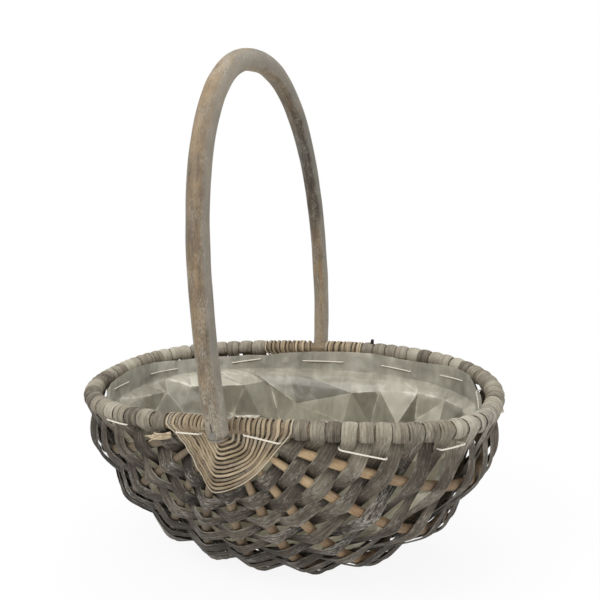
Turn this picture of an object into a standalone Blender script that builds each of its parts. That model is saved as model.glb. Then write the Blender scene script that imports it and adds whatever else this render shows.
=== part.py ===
"""Garden trug: an oval basket of bark strips woven over rod ribs, on a rod rim, with a fixed hoop handle.

Metres, +Z up. X runs along the basket and Y across it, from the near ear at -Y to the far ear at +Y.
An ear is where the handle's foot, the rim and the keel meet under a lashing. The basket stands on z = 0,
centred on the origin.
"""

import math
import random
from functools import lru_cache

import bmesh
import bpy
import numpy as np
from mathutils import Matrix, Vector

# Clearances
SEAT = 0.0003
RIM_SEAT = 0.0006

# Rim: one rod bent round, on its centre line
RIM_REACH_RIGHT = 0.2115
RIM_REACH_LEFT = 0.1865
RIM_HALF_WIDTH = 0.126
RIM_SADDLE = 0.0036
RIM_WAVE = 0.0022
RIM_SKEW_SHARE = 0.0142
RIM_ROD_RADIUS = 0.0064
RIM_POWER = 2.58
RIM_STATIONS = 72
RIM_SIDES = 8

# Bowl: the surface through the rib centres, measured down from the rim
KEEL_DEPTH = 0.175
BASE_DEPTH = 0.170
BASE_FLAT = 0.0010
SECTION_POWER = 2.12
KEEL_POWER = 2.45
BASE_POWER = 40.0

# Ribs: rods from ear to ear, and the keel under the middle
RIB_RADIUS = 0.0046
RIB_TIP_RADIUS = 0.0022
RIB_START = 0.032
RIB_TAPER = 0.056
RIB_STEPS = 20
RIB_ANGLE_SHARES = (0.21, 0.43, 0.67, 0.84)

# Woven strips, from the right rim under the keel to the left rim
STRIP_COUNT = 33
STRIP_THICKNESS = 0.0018
STRIP_WIDTH_SHARE = 0.83
STRIP_SLANT = 0.06
STRIP_CROWDING = 0.30
STRIP_SLACK = 0.0004
STRIP_SEAT_SHARE = 0.12
WRAP_FIRST = math.radians(-22.5)
WRAP_LAST = math.radians(202.5)
WRAP_STEPS = 5

# Lashings at the ears, each one winding: out over the keel, back under it, and over the rim between
LASH_RADIUS = 0.0013
LASH_LOOPS = 11
LASH_FIRST = 0.0135
LASH_LONG_REACH = 0.063
LASH_SHORT_REACH = 0.052
LASH_TIP_FIRST = 0.0165
LASH_TIP_REACH = 0.0655
LASH_TIP_TURN = math.radians(100.0)
LASH_BOW_POWER = 1.3
LASH_WRAP_FIRST = math.radians(-14.0)
LASH_WRAP_LAST = math.radians(194.0)
LASH_WRAP_STEPS = 4
LASH_LEAST_GAP = 0.0004
LASH_SAMPLES = 8

# Handle: a tapered rod in the plane of the ears, each foot nailed to the rim's outer side
HANDLE_OUTER_HALF_WIDTH = 0.155
HANDLE_RISE = 0.3155
HANDLE_WIDEST_RISE = 0.106
HANDLE_FOOT_DROP = 0.0025
HANDLE_NEAR_RADIUS = 0.0098
HANDLE_TOP_RADIUS = 0.0102
HANDLE_FAR_RADIUS = 0.0083
HANDLE_FOOT_ROUND = 0.0030
HANDLE_SIDE_POWER = 2.215
HANDLE_TOP_POWER = 2.262
HANDLE_LEAN = (-0.0278, -0.0373)
HANDLE_TWIST = 0.0032
HANDLE_TWIST_RISE = 0.090
HANDLE_STEPS = 24
HANDLE_LEG_STEPS = 5
HANDLE_SIDES = 8

# Nails through the handle's feet
NAIL_RADIUS = 0.0012
NAIL_HEAD_RADIUS = 0.0030
NAIL_HEAD_HEIGHT = 0.0010
NAIL_BITE = 0.0080
NAIL_RISE = 0.0050
NAIL_SIDES = 12

# Liner: a thin plastic bag laid in the basket, smooth down to its seam and in folds below
LINER_THICKNESS = 0.0007
LINER_SIDE_GAP = 0.0004
LINER_TOP_DROP = 0.0045
LINER_SEAM_DROP = 0.0215
LINER_COLUMNS = 24
LINER_FALLS = (0.07, 0.19, 0.38, 0.60, 0.82)
LINER_FALL_SWAY = 0.025
LINER_TURN_SWAY = 0.26
LINER_PULLS = (0.001, 0.003, 0.009, 0.013)
LINER_PULL_SHARES = (0.7, 1.0, 1.0, 0.8, 0.3)
LINER_LIFT_SHARE = 0.6
LINER_FOLD_SEED = 11
LINER_SOLVE_ROUNDS = 40

# Corners of the folds that the photograph shows, by row and column: column round, fall and pull inward
LINER_SEEN_FOLDS = {
    (0, 2): (1.91, 0.035, 0.005), (0, 3): (2.80, 0.035, 0.006), (0, 4): (3.69, 0.035, 0.009),
    (0, 5): (4.78, 0.057, 0.007), (0, 6): (5.38, 0.071, 0.010), (0, 7): (6.24, 0.121, 0.014),
    (0, 8): (6.92, 0.044, 0.002), (0, 9): (7.64, 0.062, 0.007), (0, 10): (9.61, 0.050, 0.009),
    (0, 11): (10.61, 0.056, 0.003), (0, 12): (11.84, 0.035, 0.006), (0, 13): (12.51, 0.041, 0.002),
    (1, 2): (2.62, 0.157, 0.010), (1, 3): (3.72, 0.158, 0.004), (1, 4): (4.10, 0.180, 0.011),
    (1, 5): (4.95, 0.198, 0.004), (1, 6): (5.49, 0.194, 0.012), (1, 7): (6.69, 0.220, 0.004),
    (1, 8): (7.24, 0.194, 0.009), (1, 9): (8.16, 0.209, 0.003), (1, 10): (10.25, 0.163, 0.009),
    (1, 11): (11.46, 0.134, 0.003), (1, 12): (12.64, 0.118, 0.009),
}

# How much higher the liner's top edge stands at some half columns
LINER_EDGE_RISES = {
    4: 0.009, 5: 0.009, 6: 0.008, 7: 0.005, 8: 0.003, 9: 0.003, 10: 0.005, 11: 0.005, 12: 0.004, 13: 0.002,
    14: -0.001, 16: -0.001, 20: 0.001, 21: 0.003, 22: 0.005, 23: 0.006, 24: 0.007, 25: 0.006, 26: 0.005,
    27: 0.003,
}

# Thread that holds the liner: a running stitch below the rim
THREAD_RADIUS = 0.0005
THREAD_DROP = 0.018
THREAD_HOLE_GAP = 0.0004
THREAD_HOLE_SIDES = 4
THREAD_SLACK = 0.0018
THREAD_ROWS = 3
THREAD_EAR_STEPS = 8

# Numerical settings
SURFACE_STEP = 1e-4
MERIDIAN_SAMPLES = 1201
SHARP_ANGLE = math.radians(50)
ROD_BEVEL_RESOLUTION = 1
MERGE_SHARE = 0.01

# Derived sizes
HANDLE_X = (RIM_REACH_LEFT - RIM_REACH_RIGHT) / 2
BASE_BOTTOM = KEEL_DEPTH * (1 + (KEEL_DEPTH / BASE_DEPTH) ** BASE_POWER) ** (-1 / BASE_POWER)
STRIP_OFFSET = SEAT + STRIP_SLACK + STRIP_THICKNESS / 2
RIM_HEIGHT = BASE_BOTTOM + RIB_RADIUS + STRIP_OFFSET + STRIP_THICKNESS / 2 - BASE_FLAT
RIB_TURNS = [share * math.pi / 2 for share in RIB_ANGLE_SHARES]
TURNS = [0.0, *RIB_TURNS, math.pi / 2, *[math.pi - turn for turn in reversed(RIB_TURNS)], math.pi]
FACET = math.cos((WRAP_LAST - WRAP_FIRST) / WRAP_STEPS / 2)
LASH_FACET = math.cos((LASH_WRAP_LAST - LASH_WRAP_FIRST) / LASH_WRAP_STEPS / 2)
LASH_WRAP_RADIUS = (RIM_ROD_RADIUS + SEAT + LASH_RADIUS) / LASH_FACET
LINER_PLAN_INSET = LASH_WRAP_RADIUS + LASH_RADIUS + LINER_SIDE_GAP
LINER_DEPTH_INSET = RIB_RADIUS + STRIP_OFFSET + STRIP_THICKNESS / 2 + LINER_SIDE_GAP


def material(name, colour, roughness):
    """A plain Principled material."""
    made = bpy.data.materials.new(name)
    made.use_nodes = True
    shader = made.node_tree.nodes["Principled BSDF"]
    shader.inputs["Base Color"].default_value = (*colour, 1.0)
    shader.inputs["Roughness"].default_value = roughness
    made.diffuse_color = (*colour, 1.0)
    return made


def signed_power(value, power):
    return np.sign(value) * np.abs(value) ** power


def reach_of(v):
    """Length of the basket's half on the side of v."""
    return RIM_REACH_RIGHT if math.cos(v) > 0 else RIM_REACH_LEFT


def depth_under(keel_line, base_depth, share):
    """Depth at a share of the keel's line, levelled off softly at the base."""
    depth = keel_line * share
    return depth * (1 + (depth / base_depth) ** BASE_POWER) ** (-1 / BASE_POWER)


def settled(x, y, depth):
    """Points with the rim's own unevenness added, which fades out towards the base."""
    half_length = (RIM_REACH_RIGHT + RIM_REACH_LEFT) / 2
    angle = np.arctan2(y / RIM_HALF_WIDTH, x / half_length)
    fade = 1 - depth / BASE_BOTTOM
    grow = 1 + RIM_SKEW_SHARE * np.sin(2 * angle) * fade
    drop = (RIM_SADDLE * np.cos(2 * angle) + RIM_WAVE * np.cos(3 * angle)) * fade
    return np.stack([x * grow, y * grow, RIM_HEIGHT - depth - drop], axis=-1)


def bowl(u, v):
    """Point of the bowl: u runs from the near ear (-90 degrees) to the far one, v from right rim to left."""
    across = np.abs(np.sin(u)) ** (2 / RIM_POWER)
    along = np.abs(np.cos(u)) ** (2 / RIM_POWER)
    x = HANDLE_X + reach_of(v) * signed_power(math.cos(v), 2 / SECTION_POWER) * along
    y = RIM_HALF_WIDTH * np.sign(np.sin(u)) * across
    keel_line = KEEL_DEPTH * np.maximum(1 - across**KEEL_POWER, 0) ** (1 / KEEL_POWER)
    depth = depth_under(keel_line, BASE_DEPTH, abs(math.sin(v)) ** (2 / SECTION_POWER))
    return settled(x, y, depth)


def bowl_point(u, v):
    return Vector(bowl(np.float64(u), v))


def outward(u, v):
    """Unit normal of the bowl, pointing out."""
    along = bowl_point(u + SURFACE_STEP, v) - bowl_point(u - SURFACE_STEP, v)
    round_section = bowl_point(u, v + SURFACE_STEP) - bowl_point(u, v - SURFACE_STEP)
    return round_section.cross(along).normalized()


@lru_cache(maxsize=None)
def meridian(v):
    """Values of u along one meridian, and the length from the near ear to each."""
    u = -math.pi / 2 * np.cos(np.linspace(0, math.pi, MERIDIAN_SAMPLES))
    points = bowl(u, v)
    steps = np.linalg.norm(np.diff(points, axis=0), axis=1)
    return u, np.concatenate([[0.0], np.cumsum(steps)])


def at_distance(v, distance, from_far=False):
    """The u that lies a distance along a meridian from an ear."""
    u, lengths = meridian(v)
    if from_far:
        distance = lengths[-1] - distance
    return float(np.interp(distance, lengths, u))


def lash_distance(v, far, share):
    """How far from its ear a share of a lashing crosses a meridian: a long arm, a tip and a short arm.

    The long arm is to the right of someone who faces the ear, and the tip is a little left of the keel.
    """
    turn = math.pi - v if far else v
    tip_distance = LASH_TIP_FIRST + (LASH_TIP_REACH - LASH_TIP_FIRST) * share
    on_long_arm = turn < LASH_TIP_TURN
    rim_reach = LASH_LONG_REACH if on_long_arm else LASH_SHORT_REACH
    rim_distance = LASH_FIRST + (rim_reach - LASH_FIRST) * share
    to_tip = turn / LASH_TIP_TURN if on_long_arm else (math.pi - turn) / (math.pi - LASH_TIP_TURN)
    rim_part = (math.cos(to_tip * math.pi / 2) / rim_distance) ** LASH_BOW_POWER
    tip_part = (math.sin(to_tip * math.pi / 2) / tip_distance) ** LASH_BOW_POWER
    return (rim_part + tip_part) ** (-1 / LASH_BOW_POWER)


@lru_cache(maxsize=None)
def woven_span(v):
    """Distances from the near ear at which the strips begin and end on a meridian."""
    margin = LASH_RADIUS + STRIP_SLACK
    near = lash_distance(v, False, 1.0) + margin
    far = lash_distance(v, True, 1.0) + margin
    return near, meridian(v)[1][-1] - far


def woven(v, share):
    """The u at a share of the woven part of a meridian.

    The strips sweep to the near ear as they pass under the keel, and crowd together at the basket's left end.
    """
    crowding = STRIP_CROWDING * (1 - math.cos(v)) / 2
    share += crowding / (2 * math.pi) * math.sin(2 * math.pi * share)
    share -= STRIP_SLANT * math.sin(v) * 4 * share * (1 - share)
    first, last = woven_span(v)
    return at_distance(v, first + share * (last - first))


def rib_radius_at(u, v):
    """Ribs taper to both ends."""
    u_table, lengths = meridian(v)
    distance = float(np.interp(u, u_table, lengths))
    nearest = min(distance, lengths[-1] - distance)
    share = min(max((nearest - RIB_START) / RIB_TAPER, 0.0), 1.0)
    return RIB_TIP_RADIUS + (RIB_RADIUS - RIB_TIP_RADIUS) * share


def round_rim(u, v, angle, radius):
    """Point at an angle round the rim rod: 0 outside, 90 degrees on top, 180 inside."""
    along = bowl_point(u + SURFACE_STEP, v) - bowl_point(u - SURFACE_STEP, v)
    outside = along.cross(Vector((0, 0, 1))).normalized() * (1 if v < math.pi / 2 else -1)
    up = outside.cross(along).normalized()
    up = up if up.z > 0 else -up
    return bowl_point(u, v) + radius * (math.cos(angle) * outside + math.sin(angle) * up)


def add_object(name, mesh, colour, roughness):
    mesh.materials.append(material(name, colour, roughness))
    mesh.shade_smooth()
    mesh.set_sharp_from_angle(angle=SHARP_ANGLE)
    made = bpy.data.objects.new(name, mesh)
    bpy.context.scene.collection.objects.link(made)
    return made


def lofted(name, rings, closed):
    """A mesh skinned over rings of points: capped at both ends, or closed into a loop."""
    shape = bmesh.new()
    rows = [[shape.verts.new(point) for point in ring] for ring in rings]
    pairs = list(zip(rows, rows[1:]))
    if closed:
        pairs.append((rows[-1], rows[0]))
    for first, second in pairs:
        for i in range(len(first)):
            j = (i + 1) % len(first)
            shape.faces.new((first[i], first[j], second[j], second[i]))
    if not closed:
        shape.faces.new(rows[0])
        shape.faces.new(rows[-1])
    bmesh.ops.recalc_face_normals(shape, faces=shape.faces)
    mesh = bpy.data.meshes.new(name)
    shape.to_mesh(mesh)
    shape.free()
    return mesh


def rod(name, points, radii, colour, roughness, bevel_resolution=ROD_BEVEL_RESOLUTION):
    """A round rod along points: a curve with a bevel, filled caps and a radius at each point."""
    curve = bpy.data.curves.new(name, "CURVE")
    curve.dimensions = "3D"
    curve.bevel_depth = max(radii)
    curve.bevel_resolution = bevel_resolution
    curve.use_fill_caps = True
    spline = curve.splines.new("POLY")
    spline.points.add(len(points) - 1)
    for place, point, radius in zip(spline.points, points, radii):
        place.co = (*point, 1.0)
        place.radius = radius / max(radii)
    spline.use_smooth = True
    curve.materials.append(material(name, colour, roughness))
    made = bpy.data.objects.new(name, curve)
    bpy.context.scene.collection.objects.link(made)
    return made


def cut(target, cutter):
    cutter.hide_render = True
    cutter.display_type = "WIRE"
    modifier = target.modifiers.new("cut", "BOOLEAN")
    modifier.object = cutter


def make_rim():
    """The rim rod, closed round both ears."""
    rings = []
    lengths = [meridian(v)[1][-1] for v in (0.0, math.pi)]
    for station in range(RIM_STATIONS):
        distance = sum(lengths) * station / RIM_STATIONS
        if distance < lengths[0]:
            v, u = 0.0, at_distance(0.0, distance)
        else:
            v, u = math.pi, at_distance(math.pi, distance - lengths[0], from_far=True)
        angles = [2 * math.pi * (side + 0.5) / RIM_SIDES for side in range(RIM_SIDES)]
        rings.append([round_rim(u, v, angle, RIM_ROD_RADIUS) for angle in angles])
    return add_object("rim_hoop", lofted("rim_hoop", rings, True), (0.42, 0.32, 0.21), 0.75)


def leg_y(rise, radius):
    """How far out a handle leg's centre is: against the rim at its foot, then curving out to its widest."""
    widest = HANDLE_OUTER_HALF_WIDTH - radius
    foot = RIM_HALF_WIDTH + RIM_ROD_RADIUS + RIM_SEAT + radius
    drop = 1 - max(rise, 0.0) / HANDLE_WIDEST_RISE
    return widest - (widest - foot) * drop**2


def leg_x(side, rise):
    """How far along the basket a handle leg's centre is: it leans back, and its feet are twisted apart."""
    lean = HANDLE_LEAN[0] * rise + HANDLE_LEAN[1] * rise**2
    low = max(1 - rise / HANDLE_TWIST_RISE, 0.0)
    return HANDLE_X + lean - side * HANDLE_TWIST * low**2


def handle_line():
    """The handle's centre points and radii, from the near foot over the top to the far foot."""

    def leg(side, radius):
        rises = [HANDLE_FOOT_ROUND - HANDLE_FOOT_DROP]
        rises += [HANDLE_WIDEST_RISE * step / HANDLE_LEG_STEPS for step in range(HANDLE_LEG_STEPS)]
        found = [(side * leg_y(rise, radius), rise, radius) for rise in rises]
        return [(found[0][0], -HANDLE_FOOT_DROP, radius - HANDLE_FOOT_ROUND)] + found

    arch = []
    for step in range(HANDLE_STEPS + 1):
        turn = math.pi * step / HANDLE_STEPS
        foot_radius = HANDLE_NEAR_RADIUS if math.cos(turn) > 0 else HANDLE_FAR_RADIUS
        radius = HANDLE_TOP_RADIUS + (foot_radius - HANDLE_TOP_RADIUS) * math.cos(turn) ** 2
        across = signed_power(math.cos(turn), 2 / HANDLE_SIDE_POWER) * (HANDLE_OUTER_HALF_WIDTH - foot_radius)
        top = (HANDLE_RISE - HANDLE_WIDEST_RISE) * abs(math.sin(turn)) ** (2 / HANDLE_TOP_POWER)
        arch.append((-across, HANDLE_WIDEST_RISE + top, radius))
    return leg(-1, HANDLE_NEAR_RADIUS) + arch + leg(1, HANDLE_FAR_RADIUS)[::-1]


def make_handle():
    line = handle_line()
    points = [Vector((leg_x(math.copysign(1, y), rise), y, RIM_HEIGHT + rise)) for y, rise, _ in line]
    rings = []
    for i, point in enumerate(points):
        ahead = (points[min(i + 1, len(points) - 1)] - points[max(i - 1, 0)]).normalized()
        side = (Vector((1, 0, 0)) - ahead * ahead.x).normalized()
        out = ahead.cross(side)
        angles = [2 * math.pi * corner / HANDLE_SIDES for corner in range(HANDLE_SIDES)]
        rings.append([point + line[i][2] * (math.cos(a) * out + math.sin(a) * side) for a in angles])
    return add_object("handle_hoop", lofted("handle_hoop", rings, False), (0.40, 0.31, 0.22), 0.7)


def make_nail(name, side, radius, rim, handle):
    """A nail through one foot into the rim, square to the leg, and the holes that it sits in."""
    rise = NAIL_RISE
    slope = (leg_y(rise + SURFACE_STEP, radius) - leg_y(rise - SURFACE_STEP, radius)) / (2 * SURFACE_STEP)
    axis = Vector((0, side, -slope)).normalized()
    pivot = Vector((leg_x(side, rise), side * leg_y(rise, radius), RIM_HEIGHT + rise))
    place = Matrix.Translation(pivot) @ axis.to_track_quat("Z", "Y").to_matrix().to_4x4()
    under_head = radius + SEAT
    head_top = under_head + NAIL_HEAD_HEIGHT
    tip = -radius - RIM_SEAT - NAIL_BITE
    profile = [
        (0.0, head_top),
        (NAIL_HEAD_RADIUS, head_top),
        (NAIL_HEAD_RADIUS, under_head),
        (NAIL_RADIUS, under_head),
        (NAIL_RADIUS, tip + NAIL_RADIUS),
        (0.0, tip),
    ]
    add_object(name, turned(name, profile, place), (0.10, 0.08, 0.07), 0.6)
    bore = NAIL_RADIUS + SEAT
    hole_profile = [(0.0, head_top), (bore, head_top), (bore, tip - SEAT), (0.0, tip - SEAT)]
    cutter = bpy.data.objects.new(name + "_hole", turned(name + "_hole", hole_profile, place))
    bpy.context.scene.collection.objects.link(cutter)
    cut(rim, cutter)
    cut(handle, cutter)


def turned(name, profile, place):
    """A solid of revolution: points of radius and height, turned round Z and then placed."""
    shape = bmesh.new()
    verts = [shape.verts.new((radius, 0.0, height)) for radius, height in profile]
    edges = [shape.edges.new(pair) for pair in zip(verts, verts[1:])]
    bmesh.ops.spin(
        shape,
        geom=verts + edges,
        cent=(0, 0, 0),
        axis=(0, 0, 1),
        angle=2 * math.pi,
        steps=NAIL_SIDES,
        use_merge=True,
    )
    bmesh.ops.remove_doubles(shape, verts=shape.verts, dist=NAIL_RADIUS * MERGE_SHARE)
    bmesh.ops.recalc_face_normals(shape, faces=shape.faces)
    shape.transform(place)
    mesh = bpy.data.meshes.new(name)
    shape.to_mesh(mesh)
    shape.free()
    return mesh


def make_rib(name, v):
    """One rib along a meridian, or the keel, which runs on up to the rim at both ears."""
    keel = name == "keel_rib"
    start = RIM_ROD_RADIUS + RIM_SEAT if keel else RIB_START
    first, last = at_distance(v, start), at_distance(v, start, from_far=True)
    steps = [first + (last - first) * step / RIB_STEPS for step in range(RIB_STEPS + 1)]
    points = [bowl_point(u, v) for u in steps]
    radii = [RIB_RADIUS if keel else rib_radius_at(u, v) for u in steps]
    rod(name, points, radii, (0.55, 0.40, 0.24), 0.6)


def rim_ring(shares, v, angle, outside):
    """Four corners of a strip where it passes round the rim rod."""
    inner = (RIM_ROD_RADIUS + RIM_SEAT) / FACET
    outer = (RIM_ROD_RADIUS + RIM_SEAT + STRIP_THICKNESS) / FACET
    faces = (outer, inner) if outside else (inner, outer)
    edges = [woven(v, share) for share in shares]
    front = [round_rim(u, v, angle, faces[0]) for u in edges]
    back = [round_rim(u, v, angle, faces[1]) for u in edges]
    return [front[0], front[1], back[1], back[0]]


def crossing_ring(shares, v, side, seat_v):
    """Four corners of a strip beside the rib that it passes, outside it or inside."""
    front, back = [], []
    for share in shares:
        u = woven(v, share)
        radius = RIB_RADIUS if seat_v == math.pi / 2 else rib_radius_at(woven(seat_v, share), seat_v)
        offset = side * (radius + STRIP_OFFSET)
        point, normal = bowl_point(u, v), outward(u, v)
        front.append(point + normal * (offset + STRIP_THICKNESS / 2))
        back.append(point + normal * (offset - STRIP_THICKNESS / 2))
    return [front[0], front[1], back[1], back[0]]


def make_strip(row):
    """One strip: over the right rim, in and out of the ribs, and over the left rim."""
    margin = (1 - STRIP_WIDTH_SHARE) / 2
    shares = ((row + margin) / STRIP_COUNT, (row + 1 - margin) / STRIP_COUNT)
    outside = row % 2 == 1
    angles = [WRAP_FIRST + (WRAP_LAST - WRAP_FIRST) * step / WRAP_STEPS for step in range(WRAP_STEPS + 1)]
    if outside:
        angles.reverse()
    rings = [rim_ring(shares, TURNS[0], angle, outside) for angle in angles]
    for i in range(1, len(TURNS) - 1):
        side = 1 if (row + i) % 2 == 1 else -1
        before = STRIP_SEAT_SHARE * (TURNS[i] - TURNS[i - 1])
        after = STRIP_SEAT_SHARE * (TURNS[i + 1] - TURNS[i])
        rings.append(crossing_ring(shares, TURNS[i] - before, side, TURNS[i]))
        rings.append(crossing_ring(shares, TURNS[i] + after, side, TURNS[i]))
    rings += [rim_ring(shares, TURNS[-1], angle, outside) for angle in reversed(angles)]
    for ring in rings:
        for corner in ring:
            corner.z = max(corner.z, 0.0)
    name = f"weave_strip_{row + 1:02d}"
    return add_object(name, lofted(name, rings, False), (0.33, 0.29, 0.25), 0.8)


def lash_place(v, share, side, far):
    """Point of a lashing on a meridian, in front of the ribs or behind them."""
    u = at_distance(v, lash_distance(v, far, share), from_far=far)
    at_keel = abs(v - math.pi / 2) <= LASH_TIP_TURN - math.pi / 2
    radius = RIB_RADIUS if at_keel else rib_radius_at(u, v)
    return bowl_point(u, v) + outward(u, v) * side * (radius + SEAT + LASH_RADIUS)


def lash_wrap(v, distances, angles, far):
    points = []
    for distance, angle in zip(distances, angles):
        u = at_distance(v, distance, from_far=far)
        points.append(round_rim(u, v, angle, LASH_WRAP_RADIUS))
    return points


def lash_points(far):
    """The winding, loop by loop: over the long rim, down to the tip, up, over the short rim, and back."""
    turns = TURNS if not far else TURNS[::-1]
    long_rim, short_rim, keel = turns[0], turns[-1], math.pi / 2
    tip = math.pi - LASH_TIP_TURN if far else LASH_TIP_TURN
    outside = [turns[2], turns[3], keel, tip, turns[-4], turns[-3]]
    inside = [(turns[-3] + turns[-4]) / 2, keel, (turns[2] + turns[3]) / 2]
    angles = np.linspace(LASH_WRAP_LAST, LASH_WRAP_FIRST, LASH_WRAP_STEPS + 1)
    points = []
    for loop in range(LASH_LOOPS):
        share = loop / (LASH_LOOPS - 1)
        before = lash_distance(long_rim, far, (loop - 1) / (LASH_LOOPS - 1))
        long_distance = lash_distance(long_rim, far, share)
        short_distance = lash_distance(short_rim, far, share)
        points += lash_wrap(long_rim, np.linspace(before, long_distance, len(angles)), angles, far)
        points += [lash_place(v, share, 1, far) for v in outside]
        points += lash_wrap(short_rim, [short_distance] * len(angles), angles[::-1], far)
        points += [lash_place(v, share, -1, far) for v in inside]
    return points


def least_gap(points, radius, loop_length):
    """Least clear distance between stretches of a winding that are at least half a loop apart along it."""
    fine = []
    for first, second in zip(points, points[1:]):
        fine += [first.lerp(second, step / LASH_SAMPLES) for step in range(LASH_SAMPLES)]
    cloud = np.array(fine)
    apart = loop_length * LASH_SAMPLES // 2
    gap = math.inf
    for i in range(len(cloud) - apart):
        gap = min(gap, np.linalg.norm(cloud[i + apart :] - cloud[i], axis=1).min())
    return gap - 2 * radius


def make_lashing(name, far):
    points = lash_points(far)
    gap = least_gap(points, LASH_RADIUS, len(points) // LASH_LOOPS)
    print(f"{name}: least gap to itself {gap * 1000:.2f} mm, enough: {gap > LASH_LEAST_GAP}")
    rod(name, points, [LASH_RADIUS] * len(points), (0.50, 0.40, 0.27), 0.7)


def liner_height(x, y, inset, depth_inset):
    """Depth of the liner under a plan point."""
    reach = (RIM_REACH_RIGHT if x > HANDLE_X else RIM_REACH_LEFT) - inset
    across = min(abs(y) / (RIM_HALF_WIDTH - inset), 1.0)
    keel_line = (KEEL_DEPTH - depth_inset) * (1 - across**KEEL_POWER) ** (1 / KEEL_POWER)
    half = reach * (1 - across**RIM_POWER) ** (1 / RIM_POWER)
    share = min(abs(x - HANDLE_X) / max(half, SEAT), 1.0)
    section = (1 - share**SECTION_POWER) ** (1 / SECTION_POWER)
    return depth_under(keel_line, BASE_DEPTH - depth_inset, section)


def liner_point(column, fall, pull, inner, drop=LINER_SEAM_DROP):
    """Point of the liner, at a column round it and a fall from a drop below the rim, 0, to its middle, 1."""
    turn = 2 * math.pi * column / LINER_COLUMNS
    inset = LINER_PLAN_INSET + pull + inner
    depth_inset = LINER_DEPTH_INSET + LINER_LIFT_SHARE * pull + inner
    reach = (RIM_REACH_RIGHT if math.cos(turn) > 0 else RIM_REACH_LEFT) - inset
    edge_x = reach * signed_power(math.cos(turn), 2 / RIM_POWER)
    edge_y = (RIM_HALF_WIDTH - inset) * signed_power(math.sin(turn), 2 / RIM_POWER)
    low, high = 0.0, 1.0
    for _ in range(LINER_SOLVE_ROUNDS):
        middle = (low + high) / 2
        deep = liner_height(HANDLE_X + edge_x * middle, edge_y * middle, inset, depth_inset) > drop
        low, high = (middle, high) if deep else (low, middle)
    share = math.sin(math.asin(low) * (1 - fall))
    x, y = HANDLE_X + edge_x * share, edge_y * share
    return Vector(settled(x, y, liner_height(x, y, inset, depth_inset)))


def liner_folds():
    """Rows of the folds' corners below the seam: each one's column, fall and pull inward."""
    chance = random.Random(LINER_FOLD_SEED)
    rows = []
    for row, fall in enumerate(LINER_FALLS):
        corners = []
        for column in range(LINER_COLUMNS):
            across = column + (0.5 if row % 2 else 0.0) + chance.uniform(-LINER_TURN_SWAY, LINER_TURN_SWAY)
            down = fall + chance.uniform(-LINER_FALL_SWAY, LINER_FALL_SWAY)
            pull = chance.choice(LINER_PULLS) * LINER_PULL_SHARES[row]
            corners.append(LINER_SEEN_FOLDS.get((row, column), (across, down, pull)))
        rows.append(corners)
    return rows


def liner_surface(inner):
    """Rows of points of one side of the film, from its top edge to the middle of its base."""
    halves = range(2 * LINER_COLUMNS)
    top = [liner_point(half / 2, 0, 0, inner, LINER_TOP_DROP) for half in halves]
    for half, rise in LINER_EDGE_RISES.items():
        top[half].z += rise
    rows = [top, [liner_point(half / 2, 0, 0, inner) for half in halves]]
    rows += [[liner_point(*corner, inner) for corner in corners] for corners in liner_folds()]
    return rows, liner_point(0, 1, 0, inner)


def liner_faces(rows, centre):
    """Triangles over the rows: a plain band, then half columns drawn into columns, then the folds."""
    faces = []
    top, seam, first = rows[:3]
    count = len(seam)
    for i in range(count):
        j = (i + 1) % count
        faces += [(top[i], top[j], seam[j]), (top[i], seam[j], seam[i])]
    for i in range(LINER_COLUMNS):
        j = (i + 1) % LINER_COLUMNS
        middle, last = seam[2 * i + 1], seam[(2 * i + 2) % count]
        faces += [(seam[2 * i], middle, first[i]), (middle, first[j], first[i]), (middle, last, first[j])]
    for number, (upper, lower) in enumerate(zip(rows[2:], rows[3:])):
        for i in range(LINER_COLUMNS):
            j = (i + 1) % LINER_COLUMNS
            if number % 2:
                faces += [(upper[i], upper[j], lower[j]), (upper[i], lower[j], lower[i])]
            else:
                faces += [(upper[i], upper[j], lower[i]), (upper[j], lower[j], lower[i])]
    for i in range(LINER_COLUMNS):
        faces.append((rows[-1][i], rows[-1][(i + 1) % LINER_COLUMNS], centre))
    return faces


def make_liner(crossings):
    """The liner: an open shell in its main folds, with a hole at each stitch."""
    shape = bmesh.new()
    tops = []
    for inner in (0.0, LINER_THICKNESS):
        rows, middle = liner_surface(inner)
        rows = [[shape.verts.new(point) for point in row] for row in rows]
        for face in liner_faces(rows, shape.verts.new(middle)):
            shape.faces.new(face)
        tops.append(rows[0])
    count = len(tops[0])
    for i in range(count):
        j = (i + 1) % count
        shape.faces.new((tops[0][i], tops[0][j], tops[1][j], tops[1][i]))
    bmesh.ops.recalc_face_normals(shape, faces=shape.faces)
    mesh = bpy.data.meshes.new("liner")
    shape.to_mesh(mesh)
    shape.free()
    liner = add_object("liner", mesh, (0.72, 0.74, 0.70), 0.2)
    holes = bmesh.new()
    size = (THREAD_RADIUS + THREAD_HOLE_GAP) / math.cos(math.pi / THREAD_HOLE_SIDES)
    for point, normal in crossings:
        turn = normal.to_track_quat("Z", "Y").to_matrix().to_4x4()
        bmesh.ops.create_cone(
            holes,
            cap_ends=True,
            segments=THREAD_HOLE_SIDES,
            radius1=size,
            radius2=size,
            depth=2 * (THREAD_SLACK + LINER_THICKNESS + STRIP_THICKNESS),
            matrix=Matrix.Translation(point - normal * (LINER_PLAN_INSET + LINER_THICKNESS / 2)) @ turn,
        )
    hole_mesh = bpy.data.meshes.new("liner_holes")
    holes.to_mesh(hole_mesh)
    holes.free()
    cutter = bpy.data.objects.new("liner_holes", hole_mesh)
    bpy.context.scene.collection.objects.link(cutter)
    cut(liner, cutter)


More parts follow.
